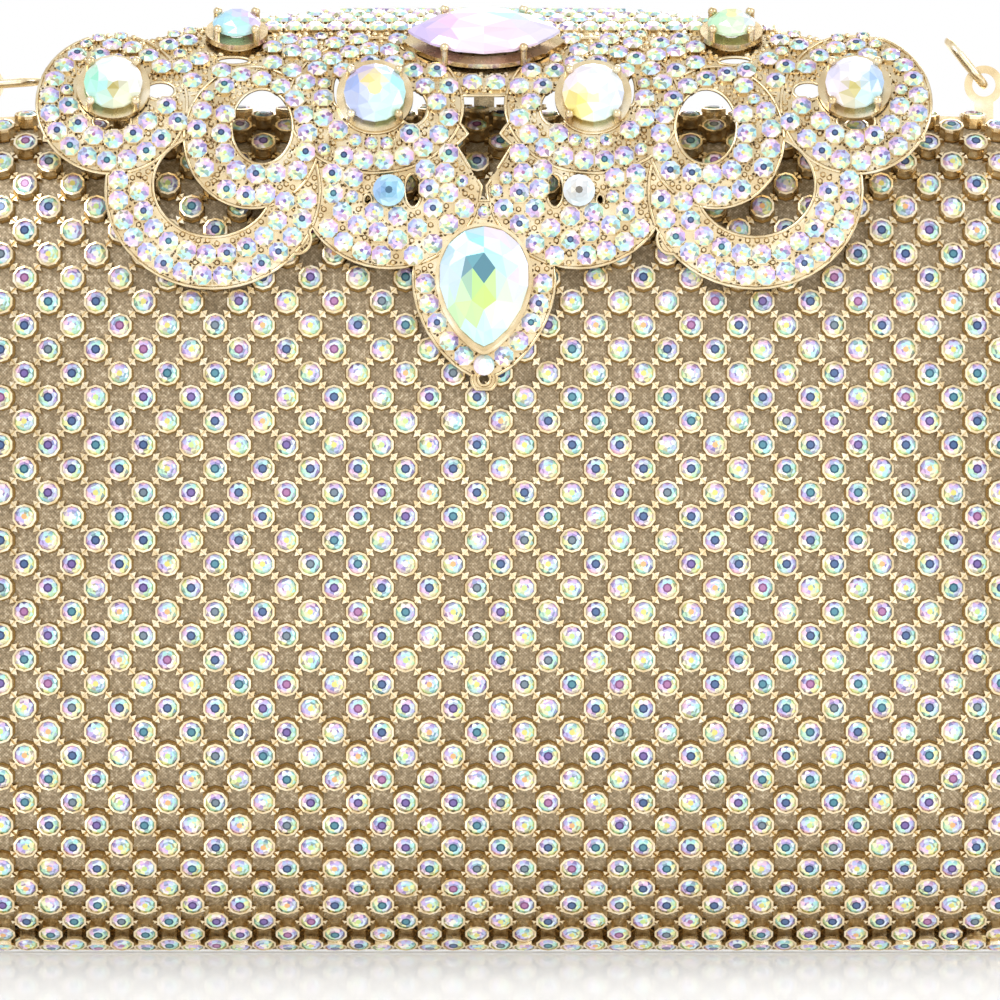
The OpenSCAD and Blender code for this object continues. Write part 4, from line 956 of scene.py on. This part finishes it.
def washer(name, inner, outer, low, high, sides):
    """A flat ring with square edges."""
    rings = [(outer, low), (outer, high), (inner, high), (inner, low)]
    points = [p for radius, height in rings for p in ring_points(radius, height, sides, 0.5)]
    faces = []
    for k in range(4):
        near, far = k * sides, (k + 1) % 4 * sides
        faces += [(near + i, near + (i + 1) % sides, far + (i + 1) % sides, far + i)
            for i in range(sides)]
    return new_object(name, points, faces)


flange, wall = [(1.74, 0), (1.72, 0.1)], [(1.55, 0.12), (1.62, 1.3)]
lip = [(1.59, 1.7), (1.31, 1.74)]
stone_seat = (1.3, 1.1)
cup_shape = turned_shape("cup", flange + wall + lip + [stone_seat], 10)
# Painted shade: the flange at the foot of each cup is marked dark
paint_shade_below(cup_shape, 0.11)
stone_shape = cut_stone("stone", radius=1.36, low=1.1, girdle=1.46, table=1.88,
    shares=(0.66, 0.46, 0.28), seed=3)
link_shape = nubbed_link("link", half_long=0.6, half_wide=0.12, foot=0.1)
# Painted shade: the foot of each link's bar is marked darker
paint_shade_below(link_shape, 0.08, 0.6)

# %% Set the mesh on both halves
for side, half in HALVES.items():
    mirror = np.array([1, side, 1])
    lift = np.array([0, seam_y, 0])
    body = half + "_half"
    laid = (all_places * mirror + lift, all_normals * mirror, all_along * mirror)
    piece = set_on(half + "_mesh_cups", *laid, cup_shape, brass)
    dressed(piece, body, "gold_alloy", half + "_mesh", half + "_base_mesh")
    piece = set_on(half + "_mesh_stones", *laid, stone_shape, mesh_crystal, seed=11 + side)
    dressed(piece, body, "rhinestone_mesh")
    piece = set_on(half + "_mesh_links", link_places * mirror + lift, link_normals * mirror,
        link_along * mirror, link_shape, brass)
    dressed(piece, body, "gold_alloy")

# %% [markdown]
# ## Reading the stones' places from the frame
# The CAD frame already holds every stone of the clasp as a plain form. Each is one island of its
# node's mesh, and its table is the largest flat patch that faces out. So the cut stones take
# their places from the frame, and no place is written twice.


# %% Solids of a node
def solids_of(node):
    """Corner points and triangles of each separate solid of a node, in millimetres."""
    copy = bmesh.new()
    copy.from_mesh(frame["nodes"][node].data)
    bmesh.ops.remove_doubles(copy, verts=copy.verts, dist=1e-7)
    copy.verts.ensure_lookup_table()
    seen, found = set(), []
    for start in copy.verts:
        if start.index in seen:
            continue
        island, front = [], [start]
        seen.add(start.index)
        while front:
            vertex = front.pop()
            island.append(vertex)
            for edge in vertex.link_edges:
                other = edge.other_vert(vertex)
                if other.index not in seen:
                    seen.add(other.index)
                    front.append(other)
        faces = dict.fromkeys(face for vertex in island for face in vertex.link_faces)
        found.append([(face.normal.copy(), face.calc_area() / MM ** 2,
            [v.co.copy() / MM for v in face.verts]) for face in faces])
    copy.free()
    return found


def table_of(solid):
    """Middle and normal of the largest flat patch that faces the front or the top."""
    patches = {}
    for normal, area, corners in solid:
        if normal.z - normal.y > 0:
            key = tuple(round(v, 2) for v in normal)
            patches.setdefault(key, []).append((area, normal, corners))
    patch = max(patches.values(), key=lambda p: sum(entry[0] for entry in p))
    whole = sum(entry[0] for entry in patch)
    middle = Vector((0, 0, 0))
    normal = Vector((0, 0, 0))
    for area, direction, corners in patch:
        middle += sum(corners, Vector((0, 0, 0))) / 3 * area / whole
        normal += direction * area / whole
    return middle, normal.normalized()


small_tables = [table_of(solid) for solid in solids_of("pave_stones")]
print("small stones on the clasp:", len(small_tables))

# %% [markdown]
# ## Small stones, collets and grains
# A pave setter drills a seat for each stone and raises grains of metal round it, which are
# pushed over its edge. Here each stone gets a thin bright collet and four grains. They lie on the
# casting, and grains of neighbouring stones run together as they do on the real thing.

# %% Set the small stones
pave_h = 0.7
pave_foot = np.array([middle - normal * pave_h for middle, normal in small_tables])
pave_normal = np.array([normal for _, normal in small_tables])
pave_along = crosswise(len(pave_foot))
pave_r = 1.25
corner_r = pave_r / math.cos(math.pi / 8)
pave_shape = cut_stone("pave stone", corner_r, low=-0.1, girdle=0.28, table=0.72,
    shares=(0.6, 0.34, 0.18), seed=5)
piece = set_on("pave_crystals", pave_foot, pave_normal, pave_along, pave_shape, pave_crystal,
    seed=23)
dressed(piece, "clasp", "crystal", "pave_stones")


# %% Collets with their grains
def grained_collet(name, inner, outer, grain_r, sides=8, grains=4):
    """A ring sunk a little in the casting, with grains of metal round it."""
    low, high, grain_z = -0.12, 0.34, 0.26
    rim = bmesh.new()
    collet = washer(name, inner, outer, low, high, sides)
    rim.from_mesh(collet.data)
    for k in range(grains):
        turn = math.radians(360 * (k + 0.5) / grains)
        at = Vector((math.cos(turn) * outer, math.sin(turn) * outer, grain_z)) * MM
        bmesh.ops.create_uvsphere(rim, u_segments=4, v_segments=2, radius=grain_r * MM,
            matrix=Matrix.Translation(at))
    rim.to_mesh(collet.data)
    rim.free()
    return collet


collet_shape = grained_collet("collet", inner=pave_r + 0.03, outer=pave_r + 0.2, grain_r=0.24)
piece = set_on("pave_collets", pave_foot, pave_normal, pave_along, collet_shape, pave_casting)
dressed(piece, "clasp", "gold_alloy")

# %% [markdown]
# ## Large stones
# A cutter grinds rings of facets round a table. Each large stone is made that way: rings of
# points on its own outline, each ring half a step round from the last, with triangles between.
# A facet's colour comes from a few listed glints, each with its place on the stone, and the nearest
# glints win, which gives crisp facets and no smooth gradient.


# %% Cutting a stone
LONG_WAY = Vector((1, 0, 0))


def blend_of(glints, u, v, draw):
    """Colour at a place on the stone, from the nearest glints."""
    weights = [1 / ((u - gu) ** 2 + (v - gv) ** 2 + 0.01) ** 2 for gu, gv, _ in glints]
    total = sum(weights)
    mixed = np.zeros(3)
    for weight, (_, _, colour) in zip(weights, glints):
        mixed += np.array(linear(colour)[:3]) * weight / total
    return np.clip(mixed * draw.uniform(0.88, 1.08), 0, 1)


def cut_large(name, solid, outline, rings, glints, seed):
    """A faceted stone on a CAD stone's table. A ring is its share of the outline, its height
    from the table, its count of corners, its turn in steps and its shift up the stone."""
    draw = random.Random(seed)
    middle, normal = table_of(solid)
    up = normal.cross(LONG_WAY)
    points, flat = [], []
    for share, height, count, turn, shift in rings:
        for i in range(count):
            x, y = (value * share for value in outline((i + turn) / count))
            flat.append((x, y + shift))
            points.append(middle + LONG_WAY * x + up * (y + shift) + normal * height)
    size = max(abs(v) for point in flat for v in point)
    starts = np.cumsum([0] + [ring[2] for ring in rings])
    faces = [tuple(range(rings[0][2]))]
    for k in range(len(rings) - 1):
        count, next_count = rings[k][2], rings[k + 1][2]
        for i in range(count):
            j, low, high = (i + 1) % count, starts[k], starts[k + 1]
            if next_count == count:
                first, second = ((high + i, high + j) if rings[k + 1][3] <= rings[k][3]
                    else (high + (i - 1) % count, high + i))
                faces += [(low + i, first, second), (low + i, second, low + j)]
            else:
                a, b, c = high + 2 * i, high + 2 * i + 1, high + (2 * i + 2) % next_count
                faces += [(low + i, a, b), (low + i, b, low + j), (low + j, b, c)]
    faces.append(tuple(reversed(range(starts[-2], starts[-1]))))
    made = new_object(name, points, faces, large_crystal)
    shades = made.data.attributes.new("pastel_and_painted_reflection", "FLOAT_COLOR", "CORNER")
    for face in made.data.polygons:
        u = sum(flat[v][0] for v in face.vertices) / len(face.vertices) / size
        v = sum(flat[v][1] for v in face.vertices) / len(face.vertices) / size
        colour = (*blend_of(glints, u, v, draw), 1)
        for corner in face.loop_indices:
            shades.data[corner].color = colour
    return made


# %% Outlines of the large stones
def round_outline(radius):
    return lambda t: (radius * math.cos(2 * math.pi * t), radius * math.sin(2 * math.pi * t))


def marquise_outline(width, height):
    r = (width ** 2 + height ** 2) / (4 * height)

    def point(t):
        x = width / 2 * math.cos(2 * math.pi * t)
        y = math.sqrt(r ** 2 - x ** 2) - (r - height / 2)
        return x, math.copysign(max(y, 0), math.sin(2 * math.pi * t) + 1e-9)
    return point


fullness, widest = 0.46, 0.871


def teardrop_outline(width, height):
    def point(t):
        a = 2 * math.pi * t
        return (width / 2 / widest * math.sin(a) * abs(math.sin(a / 2)) ** fullness,
            -height / 2 * math.cos(a))
    return point


# %% Sizes and rings of a large stone
def reach(solid, middle, direction):
    """How far a solid's corners lie from a point, along a direction."""
    return max((corner - middle).dot(direction) for _, _, corners in solid for corner in corners)


def measures(solid):
    """Width, height and depth of a stone, from its table."""
    middle, normal = table_of(solid)
    width, height = (2 * reach(solid, middle, way)
        for way in (LONG_WAY, normal.cross(LONG_WAY)))
    return width, height, reach(solid, middle, -normal)


def brilliant_rings(deep, crown, girdle=0.2):
    """A table, two rows of crown facets, a girdle and the foot, for a round stone."""
    return [(0.24, 0.0, 8, 1.0, 0.0), (0.54, 0.0, 8, 0.5, 0.0), (0.78, -crown * 0.4, 8, 0.0, 0.0),
        (1.0, -crown + girdle, 16, 0.0, 0.0), (1.0, -crown - girdle, 16, 0.0, 0.0),
        (0.2, -deep, 16, 0.0, 0.0)]


# %% Glints of the large stones
# Each is a place across and up, from -1 to 1 over the stone, and the colour that shows there.
# The white glints and the darkest ones are painted reflections of the studio and of the room.
LEFT_INNER = [(-0.6, 0.2, "#9fb4ec"), (-0.2, 0.3, "#f4d98a"), (0.1, 0.35, "#f1e3ae"),
    (0.55, 0.2, "#a7ecf0"), (0.2, -0.5, "#c6f2e4"), (-0.4, -0.55, "#b9c6f4"),
    (0.0, 0.05, "#f3e0a4"), (0.25, -0.15, "#d5f3f6"), (-0.3, -0.1, "#cfd9f8"),
    (0.5, 0.7, "#cfe7ff"), (-0.5, 0.75, "#c9bff0")]
RIGHT_INNER = [(-0.45, -0.45, "#f3e27f"), (-0.1, -0.2, "#f7efb5"), (0.5, 0.3, "#e7f0f6"),
    (0.3, -0.6, "#d9f3ea"), (-0.5, 0.45, "#f3e9f4"), (0.1, 0.65, "#e9eefb"),
    (0.6, -0.2, "#d8e0f6"), (0.0, 0.1, "#fbf7ea")]
LEFT_OUTER = [(-0.65, 0.0, "#9feccf"), (-0.35, -0.35, "#b9f1ec"), (0.0, 0.35, "#ffffff"),
    (0.0, 0.05, "#fbfbf4"), (0.05, -0.42, "#b7a85c"), (0.55, 0.0, "#f1f1ec"),
    (0.3, -0.6, "#dfe6c8"), (0.3, 0.1, "#ffffff"), (-0.25, 0.1, "#e2f7ee"),
    (-0.4, 0.6, "#e6fbf6"), (0.5, 0.6, "#ffffff")]
RIGHT_OUTER = [(-0.4, 0.3, "#dfdcf7"), (-0.1, -0.4, "#c9bd70"), (0.55, 0.0, "#a8c8f2"),
    (0.0, 0.05, "#f6f4fb"), (0.25, 0.1, "#e6eefb"),
    (0.1, 0.5, "#ffffff"), (0.5, -0.5, "#bfe3ea"), (-0.55, -0.3, "#f2e9f6")]
TOP_LEFT = [(-0.5, 0.0, "#a9dff6"), (0.0, 0.2, "#cbd0f6"), (0.5, 0.0, "#d9c6f2"),
    (0.0, -0.5, "#b9f0ea")]
TOP_RIGHT = [(-0.5, 0.0, "#bff0c8"), (0.1, 0.1, "#f2f0a8"), (0.5, 0.1, "#d6e9f9"),
    (0.0, -0.6, "#d9f3d0")]
SMALL_LEFT = [(0.0, 0.0, "#2c5c7a"), (0.32, 0.0, "#7fb3d4"), (-0.32, 0.05, "#6f9cc8"),
    (0.0, 0.34, "#8fc6e6"), (0.0, -0.34, "#79aecb"), (0.7, 0.0, "#a9ddee"),
    (-0.7, 0.2, "#a9c8f2"), (0.0, 0.8, "#c2e5f6"), (0.0, -0.8, "#b4d9ea")]
SMALL_RIGHT = [(0.0, 0.0, "#6e675c"), (0.32, 0.0, "#c3c6c9"), (-0.32, 0.05, "#d8d3c8"),
    (0.0, 0.34, "#e9e9ea"), (0.0, -0.34, "#b9bfc2"), (0.7, 0.0, "#d9e6f0"),
    (-0.7, 0.2, "#e3e9f2"), (0.0, 0.8, "#f0f3f6"), (0.0, -0.8, "#cdd9dd")]
MARQUISE = [(0.0, 0.0, "#ffffff"), (-0.45, 0.05, "#efc9ea"), (-0.75, 0.0, "#d3c3f3"),
    (0.35, 0.3, "#aeeaf2"), (0.7, 0.0, "#e3dcf7"), (0.3, -0.3, "#f3d9ee"), (-0.2, 0.35, "#e9e3fb")]
TEARDROP = [(-0.1, 0.29, "#2f6f86"), (-0.05, 0.62, "#9be7f0"), (0.0, -0.12, "#bdf06a"),
    (-0.15, -0.35, "#c9f2a0"), (0.5, 0.2, "#e6defa"), (-0.55, 0.15, "#d2e6fb"),
    (0.2, 0.8, "#f3e3f6"), (0.0, -0.75, "#c6f5f6"), (0.35, -0.4, "#e9f7e2"), (0.3, 0.35, "#b9eef3")]
DROP = [(0.0, 0.0, "#f1efe6"), (0.5, 0.3, "#cdeff0"), (-0.5, -0.2, "#f0dcef")]
pairs = {"inner": ("inner_stones", LEFT_INNER, RIGHT_INNER),
    "outer": ("outer_stones", LEFT_OUTER, RIGHT_OUTER),
    "top": ("top_stones", TOP_LEFT, TOP_RIGHT), "small": ("small_stones", SMALL_LEFT, SMALL_RIGHT)}


# %% Cut the large stones
def dress_stone(name, node, solid, outline, rings, glints, seed):
    made = cut_large(name, solid, outline, rings, glints, seed)
    return dressed(made, "clasp", "crystal", node)


crown_share = 0.44
seats = {}
for number, (name, (node, *palettes)) in enumerate(pairs.items()):
    solids = sorted(solids_of(node), key=lambda solid: table_of(solid)[0].x)
    for side, solid, glints in zip(("left", "right"), solids, palettes):
        middle, normal = table_of(solid)
        radius = reach(solid, middle, LONG_WAY)
        deep = reach(solid, middle, -normal)
        seats.setdefault(name, []).append((middle, normal, radius))
        dress_stone(f"{side}_{name}_crystal", node, solid, round_outline(radius),
            brilliant_rings(deep, crown_share * radius), glints, seed=number)

solid = solids_of("marquise_stone")[0]
width, height, deep = measures(solid)
rings = [(0.34, 0.0, 4, 0.0, 0.0), (0.62, -0.25, 8, 0.0, 0.0), (0.84, -0.9, 16, 0.0, 0.0),
    (1.0, -1.7, 16, 0.0, 0.0), (1.0, -2.1, 16, 0.0, 0.0), (0.6, -deep, 16, 0.0, 0.0)]
dress_stone("marquise_crystal", "marquise_stone", solid, marquise_outline(width, height), rings,
    MARQUISE, seed=21)

solid = solids_of("teardrop_stone")[0]
width, height, deep = measures(solid)
rings = [(0.26, 0.0, 4, 0.0, 2.2), (0.52, -0.2, 8, 0.0, 0.9), (0.8, -0.8, 16, 0.0, 0.2),
    (1.0, -1.4, 16, 0.0, 0.0), (1.0, -2.0, 16, 0.0, 0.0), (0.9, -deep, 16, 0.0, 0.0)]
dress_stone("teardrop_crystal", "teardrop_stone", solid, teardrop_outline(width, height), rings,
    TEARDROP, seed=33)

solid = solids_of("drop_stone")[0]
width, height, deep = measures(solid)
dress_stone("drop_crystal", "drop_stone", solid, round_outline(width / 2),
    brilliant_rings(deep, 0.6, 0.1), DROP, seed=41)

# %% [markdown]
# ## Raised outlines of the casting
# Each scroll of the casting is edged with a raised wire, and where two scrolls meet, two wires
# run side by side. Along the cut edges the wire follows the mesh's own sharp edges. Inside the
# casting the scrolls are ellipses, whose outlines are drawn flat and dropped on the casting by
# rays. A tree of the casting's triangles answers where a ray meets it.


# %% The casting's surface
def surface_of(*nodes):
    """A tree of the triangles of some nodes, in millimetres."""
    points, triangles = [], []
    for node in nodes:
        mesh = frame["nodes"][node].data
        first = len(points)
        points += [v.co / MM for v in mesh.vertices]
        triangles += [tuple(first + v for v in face.vertices) for face in mesh.polygons]
    return BVHTree.FromPolygons(points, triangles)


casting = surface_of("filigree")
settings = surface_of("marquise_basket", "marquise_stone", "teardrop_bezel", "teardrop_stone",
    "inner_baskets", "inner_stones", "outer_baskets", "outer_stones", "top_baskets", "top_stones",
    "small_stones", "drop_stone")


clear_off = 200
level_enough = 0.01


def landing(x, z):
    """Where a ray from the front meets the casting, if it does."""
    place, normal, _, _ = casting.ray_cast(Vector((x, -clear_off, z)), Vector((0, 1, 0)))
    if place and abs(normal.x) < level_enough and normal.z - normal.y > 0:
        return place, normal
    return None


# %% Edges of the casting
def cut_edges(node, sharp=35):
    """Sharp edges of a node's outer face, in millimetres, as pairs of points."""
    copy = bmesh.new()
    copy.from_mesh(frame["nodes"][node].data)
    bmesh.ops.remove_doubles(copy, verts=copy.verts, dist=1e-7)
    pairs = []
    for edge in copy.edges:
        outer = [f for f in edge.link_faces
            if abs(f.normal.x) < 1e-3 and f.normal.z - f.normal.y > 0.2]
        if outer and edge.calc_face_angle(0) > math.radians(sharp):
            pairs.append([v.co / MM for v in edge.verts])
    copy.free()
    return pairs


rim_pairs = cut_edges("filigree")
print("cut edges of the casting:", len(rim_pairs))

# %% Scrolls inside the casting
# Each scroll's middle across and up, and its half width and half height, as shares of the
# casting's half width and of its height, from the one on top down
half_clasp = 58
clasp_low_z, clasp_h = 72.6, 48
scrolls = ((0.24, 0.743, 0.193, 0.18), (0.51, 0.658, 0.149, 0.188), (0.818, 0.748, 0.165, 0.186),
    (0.596, 0.517, 0.235, 0.26), (0.207, 0.544, 0.202, 0.233))


def scroll_pairs(wire_r):
    """Short pieces of the scrolls' outlines that no scroll above them covers."""
    pairs, turns = [], 120
    for number, (mx, mz, rx, rz) in enumerate(scrolls):
        for side in (-1, 1):
            spots = []
            for i in range(turns + 1):
                a = 2 * math.pi * i / turns
                u, v = mx + rx * math.cos(a), mz + rz * math.sin(a)
                covered = any(((u - ox) / qx) ** 2 + ((v - oz) / qz) ** 2 < 1
                    for ox, oz, qx, qz in scrolls[:number])
                found = None if covered else landing(side * u * half_clasp,
                    clasp_low_z + v * clasp_h)
                spots.append(found and found[0] + found[1] * wire_r * 0.4)
            for near, far in zip(spots, spots[1:]):
                if near and far and (near - far).length < 2.5:
                    pairs.append([near, far])
    return pairs


wire_r = 0.24
scroll_lines = scroll_pairs(wire_r)
print("pieces of scroll outline:", len(scroll_lines))


# %% A tree that makes wires of edges
def wire_tree():
    tree = bpy.data.node_groups.new("wire along edges", "GeometryNodeTree")
    for name, kind in (("Edges", "NodeSocketGeometry"), ("Radius", "NodeSocketFloat"),
            ("Sides", "NodeSocketInt"), ("Material", "NodeSocketMaterial")):
        tree.interface.new_socket(name=name, in_out="INPUT", socket_type=kind)
    tree.interface.new_socket(name="Wires", in_out="OUTPUT", socket_type="NodeSocketGeometry")
    given = add(tree, "NodeGroupInput")
    paths = add(tree, "GeometryNodeMeshToCurve", {"Mesh": given.outputs["Edges"]})
    section = add(tree, "GeometryNodeCurvePrimitiveCircle", {"Resolution": given.outputs["Sides"],
        "Radius": given.outputs["Radius"]})
    wires = add(tree, "GeometryNodeCurveToMesh", {"Curve": paths.outputs[0],
        "Profile Curve": section.outputs[0], "Fill Caps": True})
    smooth = add(tree, "GeometryNodeSetShadeSmooth", {"Geometry": wires.outputs[0]})
    real = add(tree, "GeometryNodeRealizeInstances", {0: smooth.outputs[0]})
    painted = add(tree, "GeometryNodeSetMaterial", {"Geometry": real.outputs[0],
        "Material": given.outputs["Material"]})
    add(tree, "NodeGroupOutput", {0: painted.outputs[0]})
    return tree


along_edges = wire_tree()


def wires_along(name, pairs, radius, material, sides=6):
    """Round wires along pairs of points, which are joined where they meet."""
    points, index, edges = [], {}, []
    for pair in pairs:
        ends = []
        for point in pair:
            key = tuple(round(v, 3) for v in point)
            if key not in index:
                index[key] = len(points)
                points.append(point)
            ends.append(index[key])
        if ends[0] != ends[1]:
            edges.append(ends)
    source = new_object(name + "_edges", points, [], edges=edges)
    return with_modifier(name, source, along_edges, Radius=radius * MM, Sides=sides,
        Material=material)


piece = wires_along("casting_edge_wires", rim_pairs, wire_r, plain_casting)
dressed(piece, "clasp", "gold_alloy")
piece = wires_along("casting_scroll_wires", scroll_lines, wire_r, plain_casting)
dressed(piece, "clasp", "gold_alloy")

# %% [markdown]
# ## Seed stones and grains between the rows
# Where the rows of stones leave a gap, the setter puts a smaller stone, and where even that has
# no room, a grain of metal. The same is done here: the casting is searched on a fine grid, from
# the largest stone that could fit down to the grain, and each is kept where its whole round lies
# on the casting and clear of everything that is there already.


# %% Search of the casting
crest_slope, crest_front, crest_back = 0.75, -20, 8


def grid_on_casting(step):
    """Places and normals over the casting, from the front and, for its crest, from above."""
    found = []
    for x in np.arange(-half_clasp, half_clasp, step):
        for z in np.arange(clasp_low_z, clasp_low_z + clasp_h, step):
            hit = landing(x, z)
            if hit and hit[1].z < crest_slope:
                found.append(hit)
        for y in np.arange(crest_front, crest_back, step):
            place, normal, _, _ = casting.ray_cast(Vector((x, y, clear_off)), Vector((0, 0, -1)))
            if place and abs(normal.x) < level_enough and normal.z >= crest_slope:
                found.append((place, normal))
    return found


def lies_whole(place, normal, radius):
    """Whether a round of this radius lies on the casting with nothing set beside it."""
    up = normal.cross(LONG_WAY)
    least, most, look = 0.6, 1.35, 1.6
    same_way, stone_z, spare = 0.8, 0.3, 0.1
    for k in range(8):
        a = math.pi / 4 * k
        start = place + normal + (LONG_WAY * math.cos(a) + up * math.sin(a)) * radius
        hit, facing, _, far = casting.ray_cast(start, -normal, look)
        if hit is None or far > most or far < least or facing.dot(normal) < same_way:
            return False
    return settings.find_nearest(place + normal * stone_z, radius + spare)[0] is None


grid_step, collet_w = 0.4, 0.05
spots = grid_on_casting(grid_step)
taken = [pave_foot, np.array([p for pair in scroll_lines for p in pair])]
taken_r = [np.full(len(taken[0]), pave_r + collet_w), np.full(len(taken[1]), wire_r * 0.5)]
radius_and_edge = {"seed": (0.95, 0.12), "grain": (0.42, 0.05)}
filled = {}
for name, (radius, edge) in radius_and_edge.items():
    places, radii = np.vstack(taken), np.concatenate(taken_r)
    chosen = []
    for place, normal in spots:
        gaps = np.linalg.norm(places - np.array(place), axis=1) - radii
        if gaps.min() > radius and lies_whole(place, normal, radius + edge):
            chosen.append((place, normal))
            places = np.vstack([places, np.array(place)])
            radii = np.append(radii, radius)
    filled[name] = chosen
    if chosen:
        taken.append(np.array([p for p, _ in chosen]))
        taken_r.append(np.full(len(chosen), radius))
    print(name, "places:", len(chosen))

# %% Set the seed stones and the grains
seed_shape = cut_stone("seed stone", radius=0.86, low=-0.05, girdle=0.24, table=0.6,
    shares=(0.6, 0.36, 0.2), seed=9)
seed_collet = grained_collet("collet of a seed stone", inner=0.84, outer=0.96, grain_r=0.2)
grain_shape = turned_shape("grain", [(0.42, -0.1), (0.4, 0.12), (0.24, 0.32)], 6)
for name, kind, shape, material, slot, seed in (
        ("seed_crystals", "seed", seed_shape, pave_crystal, "crystal", 31),
        ("seed_collets", "seed", seed_collet, pave_casting, "gold_alloy", 0),
        ("setting_grains", "grain", grain_shape, plain_casting, "gold_alloy", 0)):
    places, normals = (np.array([spot[i] for spot in filled[kind]]) for i in (0, 1))
    piece = set_on(name, places, normals, crosswise(len(places)), shape, material, seed)
    dressed(piece, "clasp", slot)

# %% [markdown]
# ## Beads on the claws
# A caster ends each claw in a round bead, which the setter bends over the stone's edge. The
# beads sit on the claws of the CAD baskets, whose ends are read from the baskets' meshes.


# %% Ends of the claws
def claw_ends(node, middle, normal, way=9):
    """The ends of the claws round one stone: the highest corners of its basket, in groups."""
    tip_h, claw_w = 0.2, 1.2
    corners = [v.co / MM for v in frame["nodes"][node].data.vertices]
    near = [c for c in corners if (c - middle).length < way]
    top = max((c - middle).dot(normal) for c in near)
    groups = []
    for corner in near:
        if (corner - middle).dot(normal) > top - tip_h:
            home = next((g for g in groups if (g[0] - corner).length < claw_w), None)
            if home:
                home.append(corner)
            else:
                groups.append([corner])
    return [sum(g, Vector((0, 0, 0))) / len(g) for g in groups]


bead_r, sunk, bent_in, marquise_way = 0.62, 0.1, 0.15, 12
beads = []
for name in ("inner", "outer", "top"):
    for middle, normal, radius in seats[name]:
        for end in claw_ends(name + "_baskets", middle, normal):
            inward = (middle - end) - normal * (middle - end).dot(normal)
            beads.append((end - normal * sunk + inward.normalized() * bent_in, normal))
middle, normal = table_of(solids_of("marquise_stone")[0])
beads += [(end - normal * sunk, normal)
    for end in claw_ends("marquise_basket", middle, normal, marquise_way)]
print("beads on claws:", len(beads))

bead = bmesh.new()
bmesh.ops.create_icosphere(bead, subdivisions=2, radius=bead_r * MM)
bead_shape = new_object("bead", [], [])
bead.to_mesh(bead_shape.data)
bead.free()
bead_shape.data.shade_smooth()
piece = set_on("claw_beads", np.array([p for p, _ in beads]), np.array([n for _, n in beads]),
    crosswise(len(beads)), bead_shape, plain_casting)
dressed(piece, "clasp", "gold_alloy")

# %% [markdown]
# ## Finishes of the CAD parts that stay
# The rims, hinges, catch, baskets and rings have the right shape in the frame, so they only get
# a finish. Rims and fittings are brass, the casting and its baskets are plated zinc, pins and
# spring are steel, and the shells are plastic.

# %% Finishes
finishes = {
    pave_casting: ("filigree",),
    plain_casting: ("marquise_basket", "teardrop_bezel", "inner_baskets", "outer_baskets",
        "top_baskets", "clasp_lever", "clasp_bracket", "keeper_tongue", "strap_eye_left",
        "strap_eye_right"),
    brass: ("back_rim", "front_rim", "back_hinge_leaves", "front_hinge_leaves",
        "strap_ring_left", "strap_ring_right", "lever_rivets", "keeper_rivets", "bracket_screws"),
    steel: ("hinge_pins", "clasp_pin", "clasp_spring"),
    abs_plastic: ("back_shell", "front_shell")}
for material, nodes in finishes.items():
    for node in nodes:
        for slot in frame["nodes"][node].material_slots:
            slot.material = material
    print(material.name, "on", len(nodes), "parts")

# %% Clear the shapes that were only set on points, and finish
for shape in (cup_shape, stone_shape, link_shape, pave_shape, collet_shape, seed_shape,
        seed_collet, grain_shape, bead_shape):
    bpy.data.objects.remove(shape)
